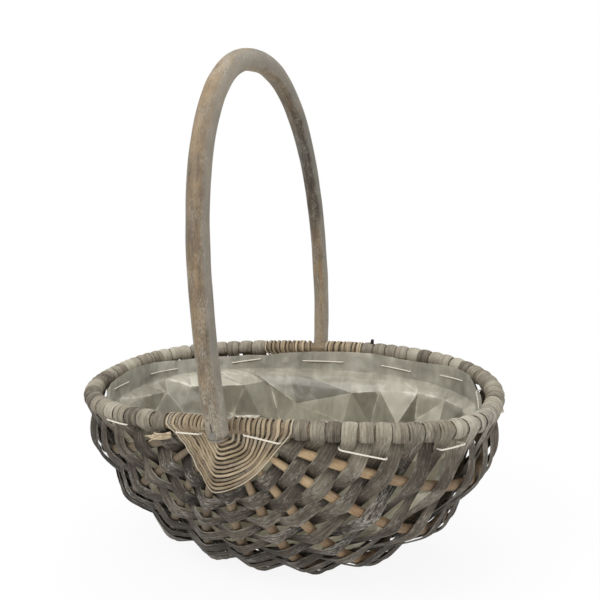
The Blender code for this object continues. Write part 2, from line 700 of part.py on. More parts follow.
def stitch_place(left, share):
    """Where the stitch line crosses the gap at a share of the weave: its point and the way out."""
    turn = TURNS[1] * (1 - STRIP_SEAT_SHARE)
    rim_v, rib_v = (math.pi, math.pi - turn) if left else (0.0, turn)
    top = bowl_point(woven(rim_v, share), rim_v)
    bottom = bowl_point(woven(rib_v, share), rib_v)
    down = THREAD_DROP / (top.z - bottom.z)
    v = rim_v + (rib_v - rim_v) * down
    return top.lerp(bottom, down), outward(woven(v, share), v)


def stitch_side(left, out, inside):
    """The stitches along one side of the basket, from one ear to the other, and where they pass the liner."""
    gaps = list(range(THREAD_ROWS, STRIP_COUNT - THREAD_ROWS + 1))
    if left:
        gaps.reverse()
    points, crossings = [], []
    outer = False
    for gap in gaps:
        point, normal = stitch_place(left, gap / STRIP_COUNT)
        if gap % THREAD_ROWS:
            points.append(point + normal * (out if outer else -inside))
            continue
        ends = [point - normal * inside, point + normal * out]
        points += ends[::-1] if outer else ends
        crossings.append((point, normal))
        outer = not outer
    return points, crossings


def stitch_route():
    """The thread's points all round, and the places where it passes through the liner."""
    out = RIB_RADIUS + STRIP_OFFSET + STRIP_THICKNESS / 2 + SEAT + THREAD_RADIUS
    inside = LINER_PLAN_INSET + LINER_THICKNESS + THREAD_SLACK + SEAT + THREAD_RADIUS
    right, right_crossings = stitch_side(False, out, inside)
    left, left_crossings = stitch_side(True, out, inside)
    far_run = ear_run(right[-1], left[0], inside)
    near_run = ear_run(left[-1], right[0], inside)
    return right + far_run + left + near_run[:-1], right_crossings + left_crossings


def ear_run(first, last, inside):
    """The thread's run behind an ear, inside the liner, between two of its points."""
    points = []
    for step in range(1, THREAD_EAR_STEPS):
        x = first.x + (last.x - first.x) * step / THREAD_EAR_STEPS
        reach = (RIM_REACH_RIGHT if x > HANDLE_X else RIM_REACH_LEFT) - inside
        y = (RIM_HALF_WIDTH - inside) * (1 - abs((x - HANDLE_X) / reach) ** RIM_POWER) ** (1 / RIM_POWER)
        points.append(Vector(settled(x, math.copysign(y, first.y), THREAD_DROP)))
    return points


def make_thread(points):
    rod("stitch_thread", points, [THREAD_RADIUS] * len(points), (0.90, 0.88, 0.84), 0.6, bevel_resolution=0)


def build():
    for old in list(bpy.data.objects):
        bpy.data.objects.remove(old, do_unlink=True)
    rim = make_rim()
    handle = make_handle()
    make_nail("handle_nail_near", -1, HANDLE_NEAR_RADIUS, rim, handle)
    make_nail("handle_nail_far", 1, HANDLE_FAR_RADIUS, rim, handle)
    for number, v in enumerate(TURNS[1:-1], start=1):
        middle = len(TURNS) // 2
        name = "keel_rib" if number == middle else f"rib_{number if number < middle else number - 1}"
        make_rib(name, v)
    for row in range(STRIP_COUNT):
        make_strip(row)
    make_lashing("ear_lashing_near", False)
    make_lashing("ear_lashing_far", True)
    points, crossings = stitch_route()
    make_liner(crossings)
    make_thread(points)


build()
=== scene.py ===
"""The garden trug, dressed: uneven bark weave, cane lashings, a crumpled clear liner, wood and limewash."""

import math
import random

import bpy
import numpy as np
from mathutils import Matrix, Vector, noise


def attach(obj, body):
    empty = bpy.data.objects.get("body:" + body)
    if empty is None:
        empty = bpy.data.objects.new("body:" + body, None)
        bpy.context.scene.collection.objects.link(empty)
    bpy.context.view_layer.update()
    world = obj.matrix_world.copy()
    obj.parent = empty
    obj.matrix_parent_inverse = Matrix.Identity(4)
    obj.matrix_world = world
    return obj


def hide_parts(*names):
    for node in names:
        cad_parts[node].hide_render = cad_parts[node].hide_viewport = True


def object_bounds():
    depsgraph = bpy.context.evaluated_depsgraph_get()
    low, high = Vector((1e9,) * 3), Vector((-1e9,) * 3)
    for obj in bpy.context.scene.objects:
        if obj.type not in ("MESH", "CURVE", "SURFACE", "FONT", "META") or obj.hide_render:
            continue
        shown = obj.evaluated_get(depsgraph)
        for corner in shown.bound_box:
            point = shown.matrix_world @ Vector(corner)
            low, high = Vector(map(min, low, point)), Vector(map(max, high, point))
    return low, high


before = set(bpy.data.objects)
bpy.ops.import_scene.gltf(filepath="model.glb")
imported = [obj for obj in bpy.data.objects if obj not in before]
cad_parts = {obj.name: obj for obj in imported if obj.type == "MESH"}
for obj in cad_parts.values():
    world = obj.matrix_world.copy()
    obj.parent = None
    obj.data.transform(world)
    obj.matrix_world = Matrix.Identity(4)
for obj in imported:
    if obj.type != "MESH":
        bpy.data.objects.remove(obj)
cad_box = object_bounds()

# The part's own sizes, as in part.py, in metres
RIM_REACH_RIGHT = 0.2115
RIM_REACH_LEFT = 0.1865
RIM_HALF_WIDTH = 0.126
RIM_SADDLE = 0.0036
RIM_WAVE = 0.0022
RIM_SKEW_SHARE = 0.0142
RIM_ROD_RADIUS = 0.0064
RIM_SEAT = 0.0006
RIM_POWER = 2.58
KEEL_DEPTH = 0.175
BASE_DEPTH = 0.170
BASE_FLAT = 0.0010
SECTION_POWER = 2.12
KEEL_POWER = 2.45
BASE_POWER = 40.0
RIB_RADIUS = 0.0046
RIB_TIP_RADIUS = 0.0022
RIB_START = 0.032
RIB_TAPER = 0.056
RIB_ANGLE_SHARES = (0.21, 0.43, 0.67, 0.84)
STRIP_COUNT = 33
STRIP_THICKNESS = 0.0018
STRIP_SLANT = 0.06
STRIP_CROWDING = 0.30
LASH_LONG_REACH = 0.063
LASH_SHORT_REACH = 0.052
LASH_TIP_REACH = 0.0655
LASH_TIP_TURN = math.radians(100.0)
LASH_BOW_POWER = 1.3
HANDLE_OUTER_HALF_WIDTH = 0.155
HANDLE_RISE = 0.3155
HANDLE_WIDEST_RISE = 0.106
HANDLE_FOOT_DROP = 0.0025
HANDLE_NEAR_RADIUS = 0.0098
HANDLE_TOP_RADIUS = 0.0102
HANDLE_FAR_RADIUS = 0.0083
HANDLE_SIDE_POWER = 2.215
HANDLE_TOP_POWER = 2.262
HANDLE_LEAN = (-0.0278, -0.0373)
HANDLE_TWIST = 0.0032
HANDLE_TWIST_RISE = 0.090

# Where the thread passes through the liner: column round the basket and drop below the rim
STITCH_CROSSINGS = (
    (0.4, 0.014), (1.0, 0.020), (1.5, 0.006), (2.3, 0.006), (3.3, 0.010), (4.1, 0.014), (4.9, 0.012),
    (5.6, 0.012), (6.2, 0.012), (7.1, 0.010), (8.0, 0.014), (9.9, 0.014), (11.2, 0.012), (12.0, 0.010),
    (12.8, 0.008), (13.8, 0.012), (15.6, 0.008), (16.3, 0.008), (17.4, 0.008), (17.8, 0.008), (18.2, 0.006),
    (18.7, 0.012), (19.6, 0.014), (20.5, 0.022), (21.6, 0.016), (22.3, 0.014),
)

# The liner, as in part.py
LINER_PLAN_INSET = 0.0111
LINER_DEPTH_INSET = 0.0080
LINER_TOP_DROP = 0.0045
LINER_SEAM_DROP = 0.0215
LINER_COLUMNS = 24
LINER_FALLS = (0.07, 0.19, 0.38, 0.60, 0.82)
LINER_FALL_SWAY = 0.025
LINER_TURN_SWAY = 0.26
LINER_PULLS = (0.001, 0.003, 0.009, 0.013)
LINER_PULL_SHARES = (0.7, 1.0, 1.0, 0.8, 0.3)
LINER_LIFT_SHARE = 0.6
LINER_FOLD_SEED = 11
LINER_SOLVE_ROUNDS = 40

# Corners of the folds that the photograph shows, by row and column: column round, fall and pull inward
LINER_SEEN_FOLDS = {
    (0, 2): (1.91, 0.035, 0.005), (0, 3): (2.80, 0.035, 0.006), (0, 4): (3.69, 0.035, 0.009),
    (0, 5): (4.78, 0.057, 0.007), (0, 6): (5.38, 0.071, 0.010), (0, 7): (6.24, 0.121, 0.014),
    (0, 8): (6.92, 0.044, 0.002), (0, 9): (7.64, 0.062, 0.007), (0, 10): (9.61, 0.050, 0.009),
    (0, 11): (10.61, 0.056, 0.003), (0, 12): (11.84, 0.035, 0.006), (0, 13): (12.51, 0.041, 0.002),
    (1, 2): (2.62, 0.157, 0.010), (1, 3): (3.72, 0.158, 0.004), (1, 4): (4.10, 0.180, 0.011),
    (1, 5): (4.95, 0.198, 0.004), (1, 6): (5.49, 0.194, 0.012), (1, 7): (6.69, 0.220, 0.004),
    (1, 8): (7.24, 0.194, 0.009), (1, 9): (8.16, 0.209, 0.003), (1, 10): (10.25, 0.163, 0.009),
    (1, 11): (11.46, 0.134, 0.003), (1, 12): (12.64, 0.118, 0.009),
}

# How much higher the liner's top edge stands at some half columns
LINER_EDGE_RISES = {
    4: 0.009, 5: 0.009, 6: 0.008, 7: 0.005, 8: 0.003, 9: 0.003, 10: 0.005, 11: 0.005, 12: 0.004, 13: 0.002,
    14: -0.001, 16: -0.001, 20: 0.001, 21: 0.003, 22: 0.005, 23: 0.006, 24: 0.007, 25: 0.006, 26: 0.005,
    27: 0.003,
}

# What only the scene shows, in metres and degrees
THREAD_STAND_OUT = 0.0088
THREAD_STAND_IN = 0.0013
THREAD_RISE = 0.12
THREAD_FALL = -0.25
THREAD_RADIUS = 0.00075
STITCH_STEPS = 6
FLOOR_GAP = 0.0002
STRIP_SHEET = 0.0013
STRIP_STAND_OFF = 0.0013
STRIP_LOWEST = 0.0012
STRIP_DOME = 0.0003
STRIP_WIDEST_HALF = 0.0088
STRIP_WANDER = 0.0011
STRIP_TWIST = 0.22
BAND_STAND_OFF = 0.0011
BAND_DOME = 0.0011
BAND_STEPS = 17
BAND_ANGLES_INSIDE = (-64, 204)
BAND_ANGLES_OUTSIDE = (206, -24)
RUN_STEPS = 15
OUTLINE_BULGE = 0.0016
OUTLINE_CUP = 0.0056
END_CUP = 0.0040
STRAND_COUNT = 12
STRAND_FIRST = 0.0125
STRAND_TIP_FIRST = 0.0150
STRAND_HALF = 0.0016
STRAND_RIM_HALF = 0.0018
STRAND_RISE = 0.0015
STRAND_STAND_OFF = 0.0012
STRAND_TONES = (-0.10, 0.05, -0.02, 0.10)
LINER_CUTS = 7
RIM_SIDES = 16

# A pale stretch of the rim, and the row of the narrow band in it
PALE_END = np.array([0.193, -0.040, 0.176])
PALE_END_REACH = 0.034
NARROW_BAND_ROW = 12
NARROW_BAND_SHARE = 0.24

HANDLE_X = (RIM_REACH_LEFT - RIM_REACH_RIGHT) / 2
BASE_BOTTOM = KEEL_DEPTH * (1 + (KEEL_DEPTH / BASE_DEPTH) ** BASE_POWER) ** (-1 / BASE_POWER)
RIM_HEIGHT = BASE_BOTTOM + RIB_RADIUS + STRIP_THICKNESS + 0.0007 - BASE_FLAT
RIB_TURNS = [share * math.pi / 2 for share in RIB_ANGLE_SHARES]
TURNS = [0.0, *RIB_TURNS, math.pi / 2, *[math.pi - turn for turn in reversed(RIB_TURNS)], math.pi]


# Surfaces shared with the part

def settled(x, y, depth):
    half_length = (RIM_REACH_RIGHT + RIM_REACH_LEFT) / 2
    angle = np.arctan2(y / RIM_HALF_WIDTH, x / half_length)
    fade = 1 - depth / BASE_BOTTOM
    grow = 1 + RIM_SKEW_SHARE * np.sin(2 * angle) * fade
    drop = (RIM_SADDLE * np.cos(2 * angle) + RIM_WAVE * np.cos(3 * angle)) * fade
    return np.stack([x * grow, y * grow, RIM_HEIGHT - depth - drop], axis=-1)


def depth_under(keel_line, base_depth, share):
    depth = keel_line * share
    return depth * (1 + (depth / base_depth) ** BASE_POWER) ** (-1 / BASE_POWER)


def bowl(u, v):
    """Points of the surface through the rib centres; u runs from ear to ear, v from right rim to left."""
    u, v = np.broadcast_arrays(np.asarray(u, float), np.asarray(v, float))
    across = np.abs(np.sin(u)) ** (2 / RIM_POWER)
    reach = np.where(np.cos(v) > 0, RIM_REACH_RIGHT, RIM_REACH_LEFT)
    turn = np.sign(np.cos(v)) * np.abs(np.cos(v)) ** (2 / SECTION_POWER)
    x = HANDLE_X + reach * turn * np.abs(np.cos(u)) ** (2 / RIM_POWER)
    y = RIM_HALF_WIDTH * np.sign(np.sin(u)) * across
    keel_line = KEEL_DEPTH * np.maximum(1 - across**KEEL_POWER, 0) ** (1 / KEEL_POWER)
    return settled(x, y, depth_under(keel_line, BASE_DEPTH, np.abs(np.sin(v)) ** (2 / SECTION_POWER)))


def unit(vectors):
    return vectors / np.maximum(np.linalg.norm(vectors, axis=-1, keepdims=True), 1e-12)


def frames_at(u, v, step=1e-4):
    """Point, direction along the ribs and outward normal."""
    along = unit(bowl(u + step, v) - bowl(u - step, v))
    around = unit(bowl(u, np.asarray(v) + step) - bowl(u, np.asarray(v) - step))
    return bowl(u, v), along, unit(np.cross(around, along))


meridians = {}


def meridian(v):
    if v not in meridians:
        u = -math.pi / 2 * np.cos(np.linspace(0, math.pi, 801))
        steps = np.linalg.norm(np.diff(bowl(u, v), axis=0), axis=1)
        meridians[v] = u, np.concatenate([[0.0], np.cumsum(steps)])
    return meridians[v]


def at_distance(v, distance, far=False):
    u, lengths = meridian(v)
    return float(np.interp(lengths[-1] - distance if far else distance, lengths, u))


def arm_share(v, far):
    """Whether a meridian crosses a lashing's long arm, and its share of the way from rim to tip."""
    turn = math.pi - v if far else v
    if turn < LASH_TIP_TURN:
        return True, turn / LASH_TIP_TURN
    return False, (math.pi - turn) / (math.pi - LASH_TIP_TURN)


def lash_edge(v, far):
    """How far from its ear a lashing's outer edge crosses a meridian."""
    on_long_arm, to_tip = arm_share(v, far)
    rim_distance = LASH_LONG_REACH if on_long_arm else LASH_SHORT_REACH
    rim_part = (math.cos(to_tip * math.pi / 2) / rim_distance) ** LASH_BOW_POWER
    tip_part = (math.sin(to_tip * math.pi / 2) / LASH_TIP_REACH) ** LASH_BOW_POWER
    return (rim_part + tip_part) ** (-1 / LASH_BOW_POWER)


def woven(v, share):
    """The u at a share of the woven part of a meridian."""
    margin = 0.0017
    crowding = STRIP_CROWDING * (1 - math.cos(v)) / 2
    share += crowding / (2 * math.pi) * math.sin(2 * math.pi * share)
    share -= STRIP_SLANT * math.sin(v) * 4 * share * (1 - share)
    first = lash_edge(v, False) + margin
    last = meridian(v)[1][-1] - lash_edge(v, True) - margin
    return at_distance(v, first + share * (last - first))


def rib_radius_at(u, v):
    table, lengths = meridian(v)
    distance = float(np.interp(u, table, lengths))
    share = min(max((min(distance, lengths[-1] - distance) - RIB_START) / RIB_TAPER, 0.0), 1.0)
    return RIB_TIP_RADIUS + (RIB_RADIUS - RIB_TIP_RADIUS) * share


def rim_frame(u, v):
    """Centre of the rim rod, its direction, and the ways out and up."""
    centre = bowl(u, v)
    along = unit(bowl(u + 1e-4, v) - bowl(u - 1e-4, v))
    out = unit(np.cross(along, (0, 0, 1))) * (1 if v < math.pi / 2 else -1)
    up = np.cross(out, along)
    return centre, along, out, up if up[2] > 0 else -up


def wobble(place, scale, seed):
    """Smooth noise between -1 and 1."""
    return noise.noise(Vector(place) * scale + Vector((seed * 7.1, seed * 3.7, seed * 1.3)))


def pale_share(point):
    """How pale the rim's pale stretch makes a point, 0 to 1."""
    return math.exp(-((np.linalg.norm(point - PALE_END) / PALE_END_REACH) ** 2))


def signed_power(value, power):
    return math.copysign(abs(value) ** power, value)


# Mesh making

def add_object(name, data):
    made = bpy.data.objects.new(name, data)
    bpy.context.scene.collection.objects.link(made)
    return made


def fill(mesh, name, domain, values):
    mesh.attributes.new(name, "FLOAT", domain).data.foreach_set("value", values)


def skin(name, rings, across, along, tints, edges=0.0, closed=False):
    """A tube skinned over rings, with a map in metres and a tint and an edge share at each point."""
    rings = np.asarray(rings, float)
    count, sides = rings.shape[:2]
    faces, corners = [], []
    for i in range(count if closed else count - 1):
        j = (i + 1) % count
        for a in range(sides):
            b = (a + 1) % sides
            faces.append((i * sides + a, i * sides + b, j * sides + b, j * sides + a))
            corners += [(across[a], along[i]), (across[a + 1], along[i])]
            corners += [(across[a + 1], along[i + 1]), (across[a], along[i + 1])]
    if not closed:
        faces.append(tuple(range(sides))[::-1])
        faces.append(tuple((count - 1) * sides + a for a in range(sides)))
        corners += [(across[a], along[0]) for a in range(sides)][::-1]
        corners += [(across[a], along[-1]) for a in range(sides)]
    mesh = bpy.data.meshes.new(name)
    mesh.from_pydata(rings.reshape(-1, 3).tolist(), [], faces)
    mesh.uv_layers.new(name="Grain").data.foreach_set("uv", np.array(corners, np.float32).ravel())
    colours = np.ones((count, sides, 4), np.float32)
    colours[:, :, :3] = np.asarray(tints, float)[:, None, :]
    mesh.color_attributes.new("Tint", "FLOAT_COLOR", "POINT").data.foreach_set("color", colours.ravel())
    shares = np.zeros((count, sides), np.float32) + np.float32(edges)
    fill(mesh, "Edge", "POINT", shares.ravel())
    mesh.validate()
    mesh.shade_smooth()
    turn_out(mesh)
    return add_object(name, mesh)


def turn_out(mesh):
    """Faces a closed mesh outward."""
    mesh.calc_loop_triangles()
    points = np.array([v.co for v in mesh.vertices])
    a, b, c = points[np.array([t.vertices for t in mesh.loop_triangles]).T]
    if np.einsum("ij,ij->i", a, np.cross(b, c)).sum() < 0:
        mesh.flip_normals()


def place_piece(piece, material, slot, *nodes):
    piece.data.materials.append(material)
    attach(piece, "root")
    if nodes:
        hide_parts(*nodes)
    return piece


def round_rings(points, radii, sides, reference=None, bumps=0.0, seed=0):
    """Rings of a rod along points, each turned to a reference direction."""
    points = np.asarray(points, float)
    tangents = unit(np.gradient(points, axis=0))
    rings = []
    normal = None
    for i, (point, tangent) in enumerate(zip(points, tangents)):
        if reference is not None:
            normal = reference[i]
        elif normal is None:
            normal = np.cross(tangent, (0.3, 0.5, 0.8))
        normal = unit(normal - tangent * np.dot(normal, tangent))
        side = np.cross(tangent, normal)
        ring = []
        for a in range(sides):
            angle = 2 * math.pi * a / sides
            bump = bumps * wobble(point + side * math.cos(angle) * 0.01, 45, seed) if bumps else 0
            ring.append(point + (radii[i] + bump) * (math.cos(angle) * side + math.sin(angle) * normal))
        rings.append(ring)
    return np.array(rings)


def lengths_along(points):
    steps = np.linalg.norm(np.diff(np.asarray(points, float), axis=0), axis=1)
    return np.concatenate([[0.0], np.cumsum(steps)])


def loop_lengths(points):
    """Lengths along a closed line, back to its start."""
    return lengths_along(np.vstack([points, points[:1]]))


def loop_ways(points):
    """Directions along a closed line."""
    return unit(np.roll(points, -1, axis=0) - np.roll(points, 1, axis=0))


def soften(values):
    """Each value of a closed line drawn halfway to its neighbours."""
    return 0.25 * np.roll(values, 1, axis=0) + 0.5 * values + 0.25 * np.roll(values, -1, axis=0)


def rod(name, points, radii, tints, sides=14, **shape):
    points = np.asarray(points, float)
    across = [2 * math.pi * float(np.mean(radii)) * a / sides for a in range(sides + 1)]
    return skin(name, round_rings(points, radii, sides, **shape), across, lengths_along(points), tints)


def hermite(start, start_way, end, end_way, steps):
    t = np.linspace(0, 1, steps)[:, None]
    return (
        (2 * t**3 - 3 * t**2 + 1) * start + (t**3 - 2 * t**2 + t) * start_way
        + (-2 * t**3 + 3 * t**2) * end + (t**3 - t**2) * end_way
    )


# Materials

def new_material(name):
    material = bpy.data.materials.new(name)
    material.use_nodes = True
    return material, Graph(material.node_tree), material.node_tree.nodes["Principled BSDF"]


class Graph:
    """Short ways to add shader nodes."""

    def __init__(self, tree):
        self.tree = tree

    def add(self, kind, inputs=(), **settings):
        node = self.tree.nodes.new(kind)
        for key, value in settings.items():
            setattr(node, key, value)
        for key, value in dict(inputs).items():
            if isinstance(value, bpy.types.NodeSocket):
                self.tree.links.new(value, node.inputs[key])
            else:
                node.inputs[key].default_value = value
        return node

    def math(self, operation, a, b=0.0, c=0.0, clamp=False):
        node = self.add("ShaderNodeMath", {0: a, 1: b, 2: c}, operation=operation, use_clamp=clamp)
        return node.outputs[0]

    def noise(self, vector, scale, detail=3.0, rough=0.55, distortion=0.0):
        inputs = {"Vector": vector, "Scale": scale, "Detail": detail, "Roughness": rough}
        return self.add("ShaderNodeTexNoise", {**inputs, "Distortion": distortion}).outputs[0]

    def ramp(self, value, stops):
        node = self.add("ShaderNodeValToRGB", {0: value})
        marks = node.color_ramp.elements
        while len(marks) < len(stops):
            marks.new(0.5)
        for mark, (place, colour) in zip(marks, stops):
            mark.position = place
            mark.color = (*colour, 1.0)
        return node.outputs[0]

    def mix(self, share, first, second, blend="MIX"):
        node = self.tree.nodes.new("ShaderNodeMix")
        node.data_type = "RGBA"
        node.blend_type = blend
        for socket, value in ((node.inputs[0], share), (node.inputs[6], first), (node.inputs[7], second)):
            if isinstance(value, bpy.types.NodeSocket):
                self.tree.links.new(value, socket)
            else:
                socket.default_value = value if isinstance(value, float) else (*value, 1.0)
        return node.outputs[2]

    def stretched(self, coordinates, scale):
        return self.add("ShaderNodeMapping", {"Vector": coordinates, "Scale": scale}).outputs[0]

    def smooth(self, value, low, high, top=1.0):
        inputs = {0: value, 1: low, 2: high, 3: 0.0, 4: top}
        return self.add("ShaderNodeMapRange", inputs, interpolation_type="SMOOTHSTEP").outputs[0]

    def link(self, value, node, socket):
        self.tree.links.new(value, node.inputs[socket])

    def attribute(self, name):
        return self.add("ShaderNodeAttribute", attribute_name=name).outputs["Fac"]

    def place(self):
        return self.add("ShaderNodeTexCoord").outputs["Object"]

    def grain_map(self):
        return self.add("ShaderNodeUVMap", uv_map="Grain").outputs[0]

    def bump(self, height, distance, strength):
        inputs = {"Height": height, "Distance": distance, "Strength": strength}
        return self.add("ShaderNodeBump", inputs).outputs[0]

    def blend_surface(self, share, first, second):
        """Makes the material a mix of two shaders."""
        both = self.add("ShaderNodeMixShader", {0: share, 1: first.outputs[0], 2: second.outputs[0]})
        output = next(n for n in self.tree.nodes if n.type == "OUTPUT_MATERIAL")
        self.link(both.outputs[0], output, "Surface")

    def background_rays(self):
        """1 for rays that show the background: straight, by gloss or through glass."""
        rays = self.add("ShaderNodeLightPath").outputs
        bent = self.math("MAXIMUM", rays["Is Glossy Ray"], rays["Is Transmission Ray"])
        return self.math("MAXIMUM", rays["Is Camera Ray"], bent)


def fibre_material(name, stops, wash, wash_gain, grain_scale, bump, roughness,
                   purple=0.0, edge_shade=0.0, dull=None, mottle=(), fibres=0.0, side_sheen=None):
    """Bark, cane or wood: grain along the piece, blotches, limewash in patches and on the edges; where asked,
    painted shade along a piece's sides and a painted sheen where it faces along x.
    """
    material, g, shader = new_material(name)
    grain_map = g.grain_map()
    tint = g.add("ShaderNodeAttribute", attribute_name="Tint").outputs[0]
    tone, hue, white = g.add("ShaderNodeSeparateColor", {0: tint}).outputs

    def grain(stretch, scale, *rest):
        return g.noise(g.stretched(grain_map, (1.0, stretch, 1.0)), scale, *rest)

    def vary(value, by, share):
        """Adds a noise of mean a half, as a share of its whole height."""
        return g.math("MULTIPLY_ADD", by, share, g.math("SUBTRACT", value, share / 2))

    edge = g.attribute("Edge")
    streak = grain(0.07, grain_scale, 4.0, 0.62)
    fine = grain(0.3, grain_scale * 2.6, 2.0)
    blotch = g.noise(g.place(), 55.0, 3.0)
    value = vary(vary(vary(tone, streak, 0.40), blotch, 0.5), fine, 0.30)
    if fibres:
        value = vary(value, grain(0.05, grain_scale * 1.9, 3.0, 0.75), fibres)
    colour = g.ramp(value, stops)
    if purple:
        colour = g.mix(g.math("MULTIPLY", hue, purple), colour, (0.80, 0.68, 0.78), "MULTIPLY")
    if dull:
        colour = g.mix(hue, colour, dull)
    for scale, low, high, shade in mottle:
        colour = g.mix(g.smooth(grain(0.14, scale, 3.0, 0.65, 0.4), low, high, 0.75), colour, shade)
    # Painted sheen: where the surface turns along x, the colour greys toward the sheen colour given, as a
    # glancing sheen along a rod's sides.
    if side_sheen:
        normal = g.add("ShaderNodeNewGeometry").outputs["Normal"]
        facing = g.math("ABSOLUTE", g.add("ShaderNodeSeparateXYZ", {0: normal}).outputs[0])
        turned = g.math("MULTIPLY_ADD", blotch, 0.5, facing)
        colour = g.mix(g.smooth(turned, 0.80, 1.12, 0.65), colour, side_sheen)
    # Painted shade: the sides of a piece darken toward near black, standing for the shadow in the gaps
    # between strands.
    if edge_shade:
        painted_edge_shade = g.math("MULTIPLY", g.smooth(edge, 0.55, 0.88), edge_shade)
        colour = g.mix(painted_edge_shade, colour, (0.030, 0.022, 0.015))
    washed = grain(0.3, 130.0, 4.0, 0.65)
    patch = g.smooth(g.math("MULTIPLY_ADD", white, 0.22, washed), 0.52, 0.86)
    if fibres:
        scratch = grain(0.30, 560.0, 3.0, 0.75)
        fleck = g.smooth(g.math("MULTIPLY_ADD", white, 0.10, scratch), 0.50, 0.70)
    else:
        fleck = g.smooth(g.math("MULTIPLY_ADD", white, 0.15, fine), 0.44, 0.78)
    rim = g.smooth(g.math("ADD", g.math("MULTIPLY", blotch, 0.45), edge), 1.04, 1.34)
    mask = g.math("MAXIMUM", g.math("MULTIPLY", patch, fleck), g.math("MULTIPLY", rim, white))
    mask = g.math("MINIMUM", g.math("MULTIPLY", mask, wash_gain), 0.92)
    g.link(g.mix(mask, colour, wash), shader, "Base Color")
    g.link(g.math("MULTIPLY_ADD", fine, 0.2, roughness - 0.1), shader, "Roughness")
    shader.inputs["Specular IOR Level"].default_value = 0.3
    height = g.math("MULTIPLY_ADD", streak, 0.7, g.math("MULTIPLY", blotch, 0.5))
    g.link(g.bump(height, bump, 0.6), shader, "Normal")
    return material


bark = fibre_material(
    "bark",
    [(0.0, (0.012, 0.009, 0.006)), (0.28, (0.056, 0.044, 0.032)), (0.50, (0.150, 0.127, 0.094)),
     (0.72, (0.285, 0.252, 0.192)), (0.92, (0.420, 0.388, 0.312))],
    (0.50, 0.48, 0.42), 0.62, 330.0, 0.0012, 0.74, purple=0.12, fibres=0.75,
)
cane = fibre_material(
    "cane",
    [(0.0, (0.060, 0.042, 0.026)), (0.30, (0.205, 0.150, 0.090)), (0.55, (0.385, 0.300, 0.190)),
     (0.85, (0.570, 0.465, 0.320))],
    # Strong painted shade along each strand's sides, for the dark gaps between strands.
    (0.62, 0.57, 0.47), 0.8, 900.0, 0.0003, 0.62, edge_shade=0.96,
)
handle_wood = fibre_material(
    "handle_wood",
    [(0.0, (0.035, 0.029, 0.023)), (0.30, (0.135, 0.102, 0.068)), (0.55, (0.275, 0.200, 0.118)),
     (0.85, (0.425, 0.342, 0.230))],
    (0.38, 0.35, 0.29), 0.85, 420.0, 0.0005, 0.58,
    mottle=((60.0, 0.50, 0.68, (0.160, 0.145, 0.120)), (80.0, 0.56, 0.72, (0.270, 0.165, 0.085)),
            (210.0, 0.60, 0.74, (0.070, 0.055, 0.040))),
    # Painted sheen colour for the sides of the handle and the rim.
    side_sheen=(0.235, 0.220, 0.190),
)
rib_wood = fibre_material(
    "rib_wood",
    [(0.0, (0.060, 0.034, 0.016)), (0.35, (0.255, 0.155, 0.080)), (0.60, (0.450, 0.325, 0.185)),
     (0.90, (0.620, 0.510, 0.350))],
    (0.60, 0.54, 0.44), 0.5, 500.0, 0.0003, 0.6, dull=(0.080, 0.066, 0.050),
)


def make_thread_material():
    material, g, shader = new_material("twine")
    inputs = {"Vector": g.grain_map(), "Scale": 260.0, "Distortion": 1.0}
    wave = g.add("ShaderNodeTexWave", inputs, bands_direction="DIAGONAL").outputs[0]
    g.link(g.ramp(wave, [(0.0, (0.62, 0.56, 0.45)), (1.0, (0.88, 0.84, 0.75))]), shader, "Base Color")
    g.link(g.bump(wave, 0.0003, 0.5), shader, "Normal")
    shader.inputs["Roughness"].default_value = 0.75
    return material


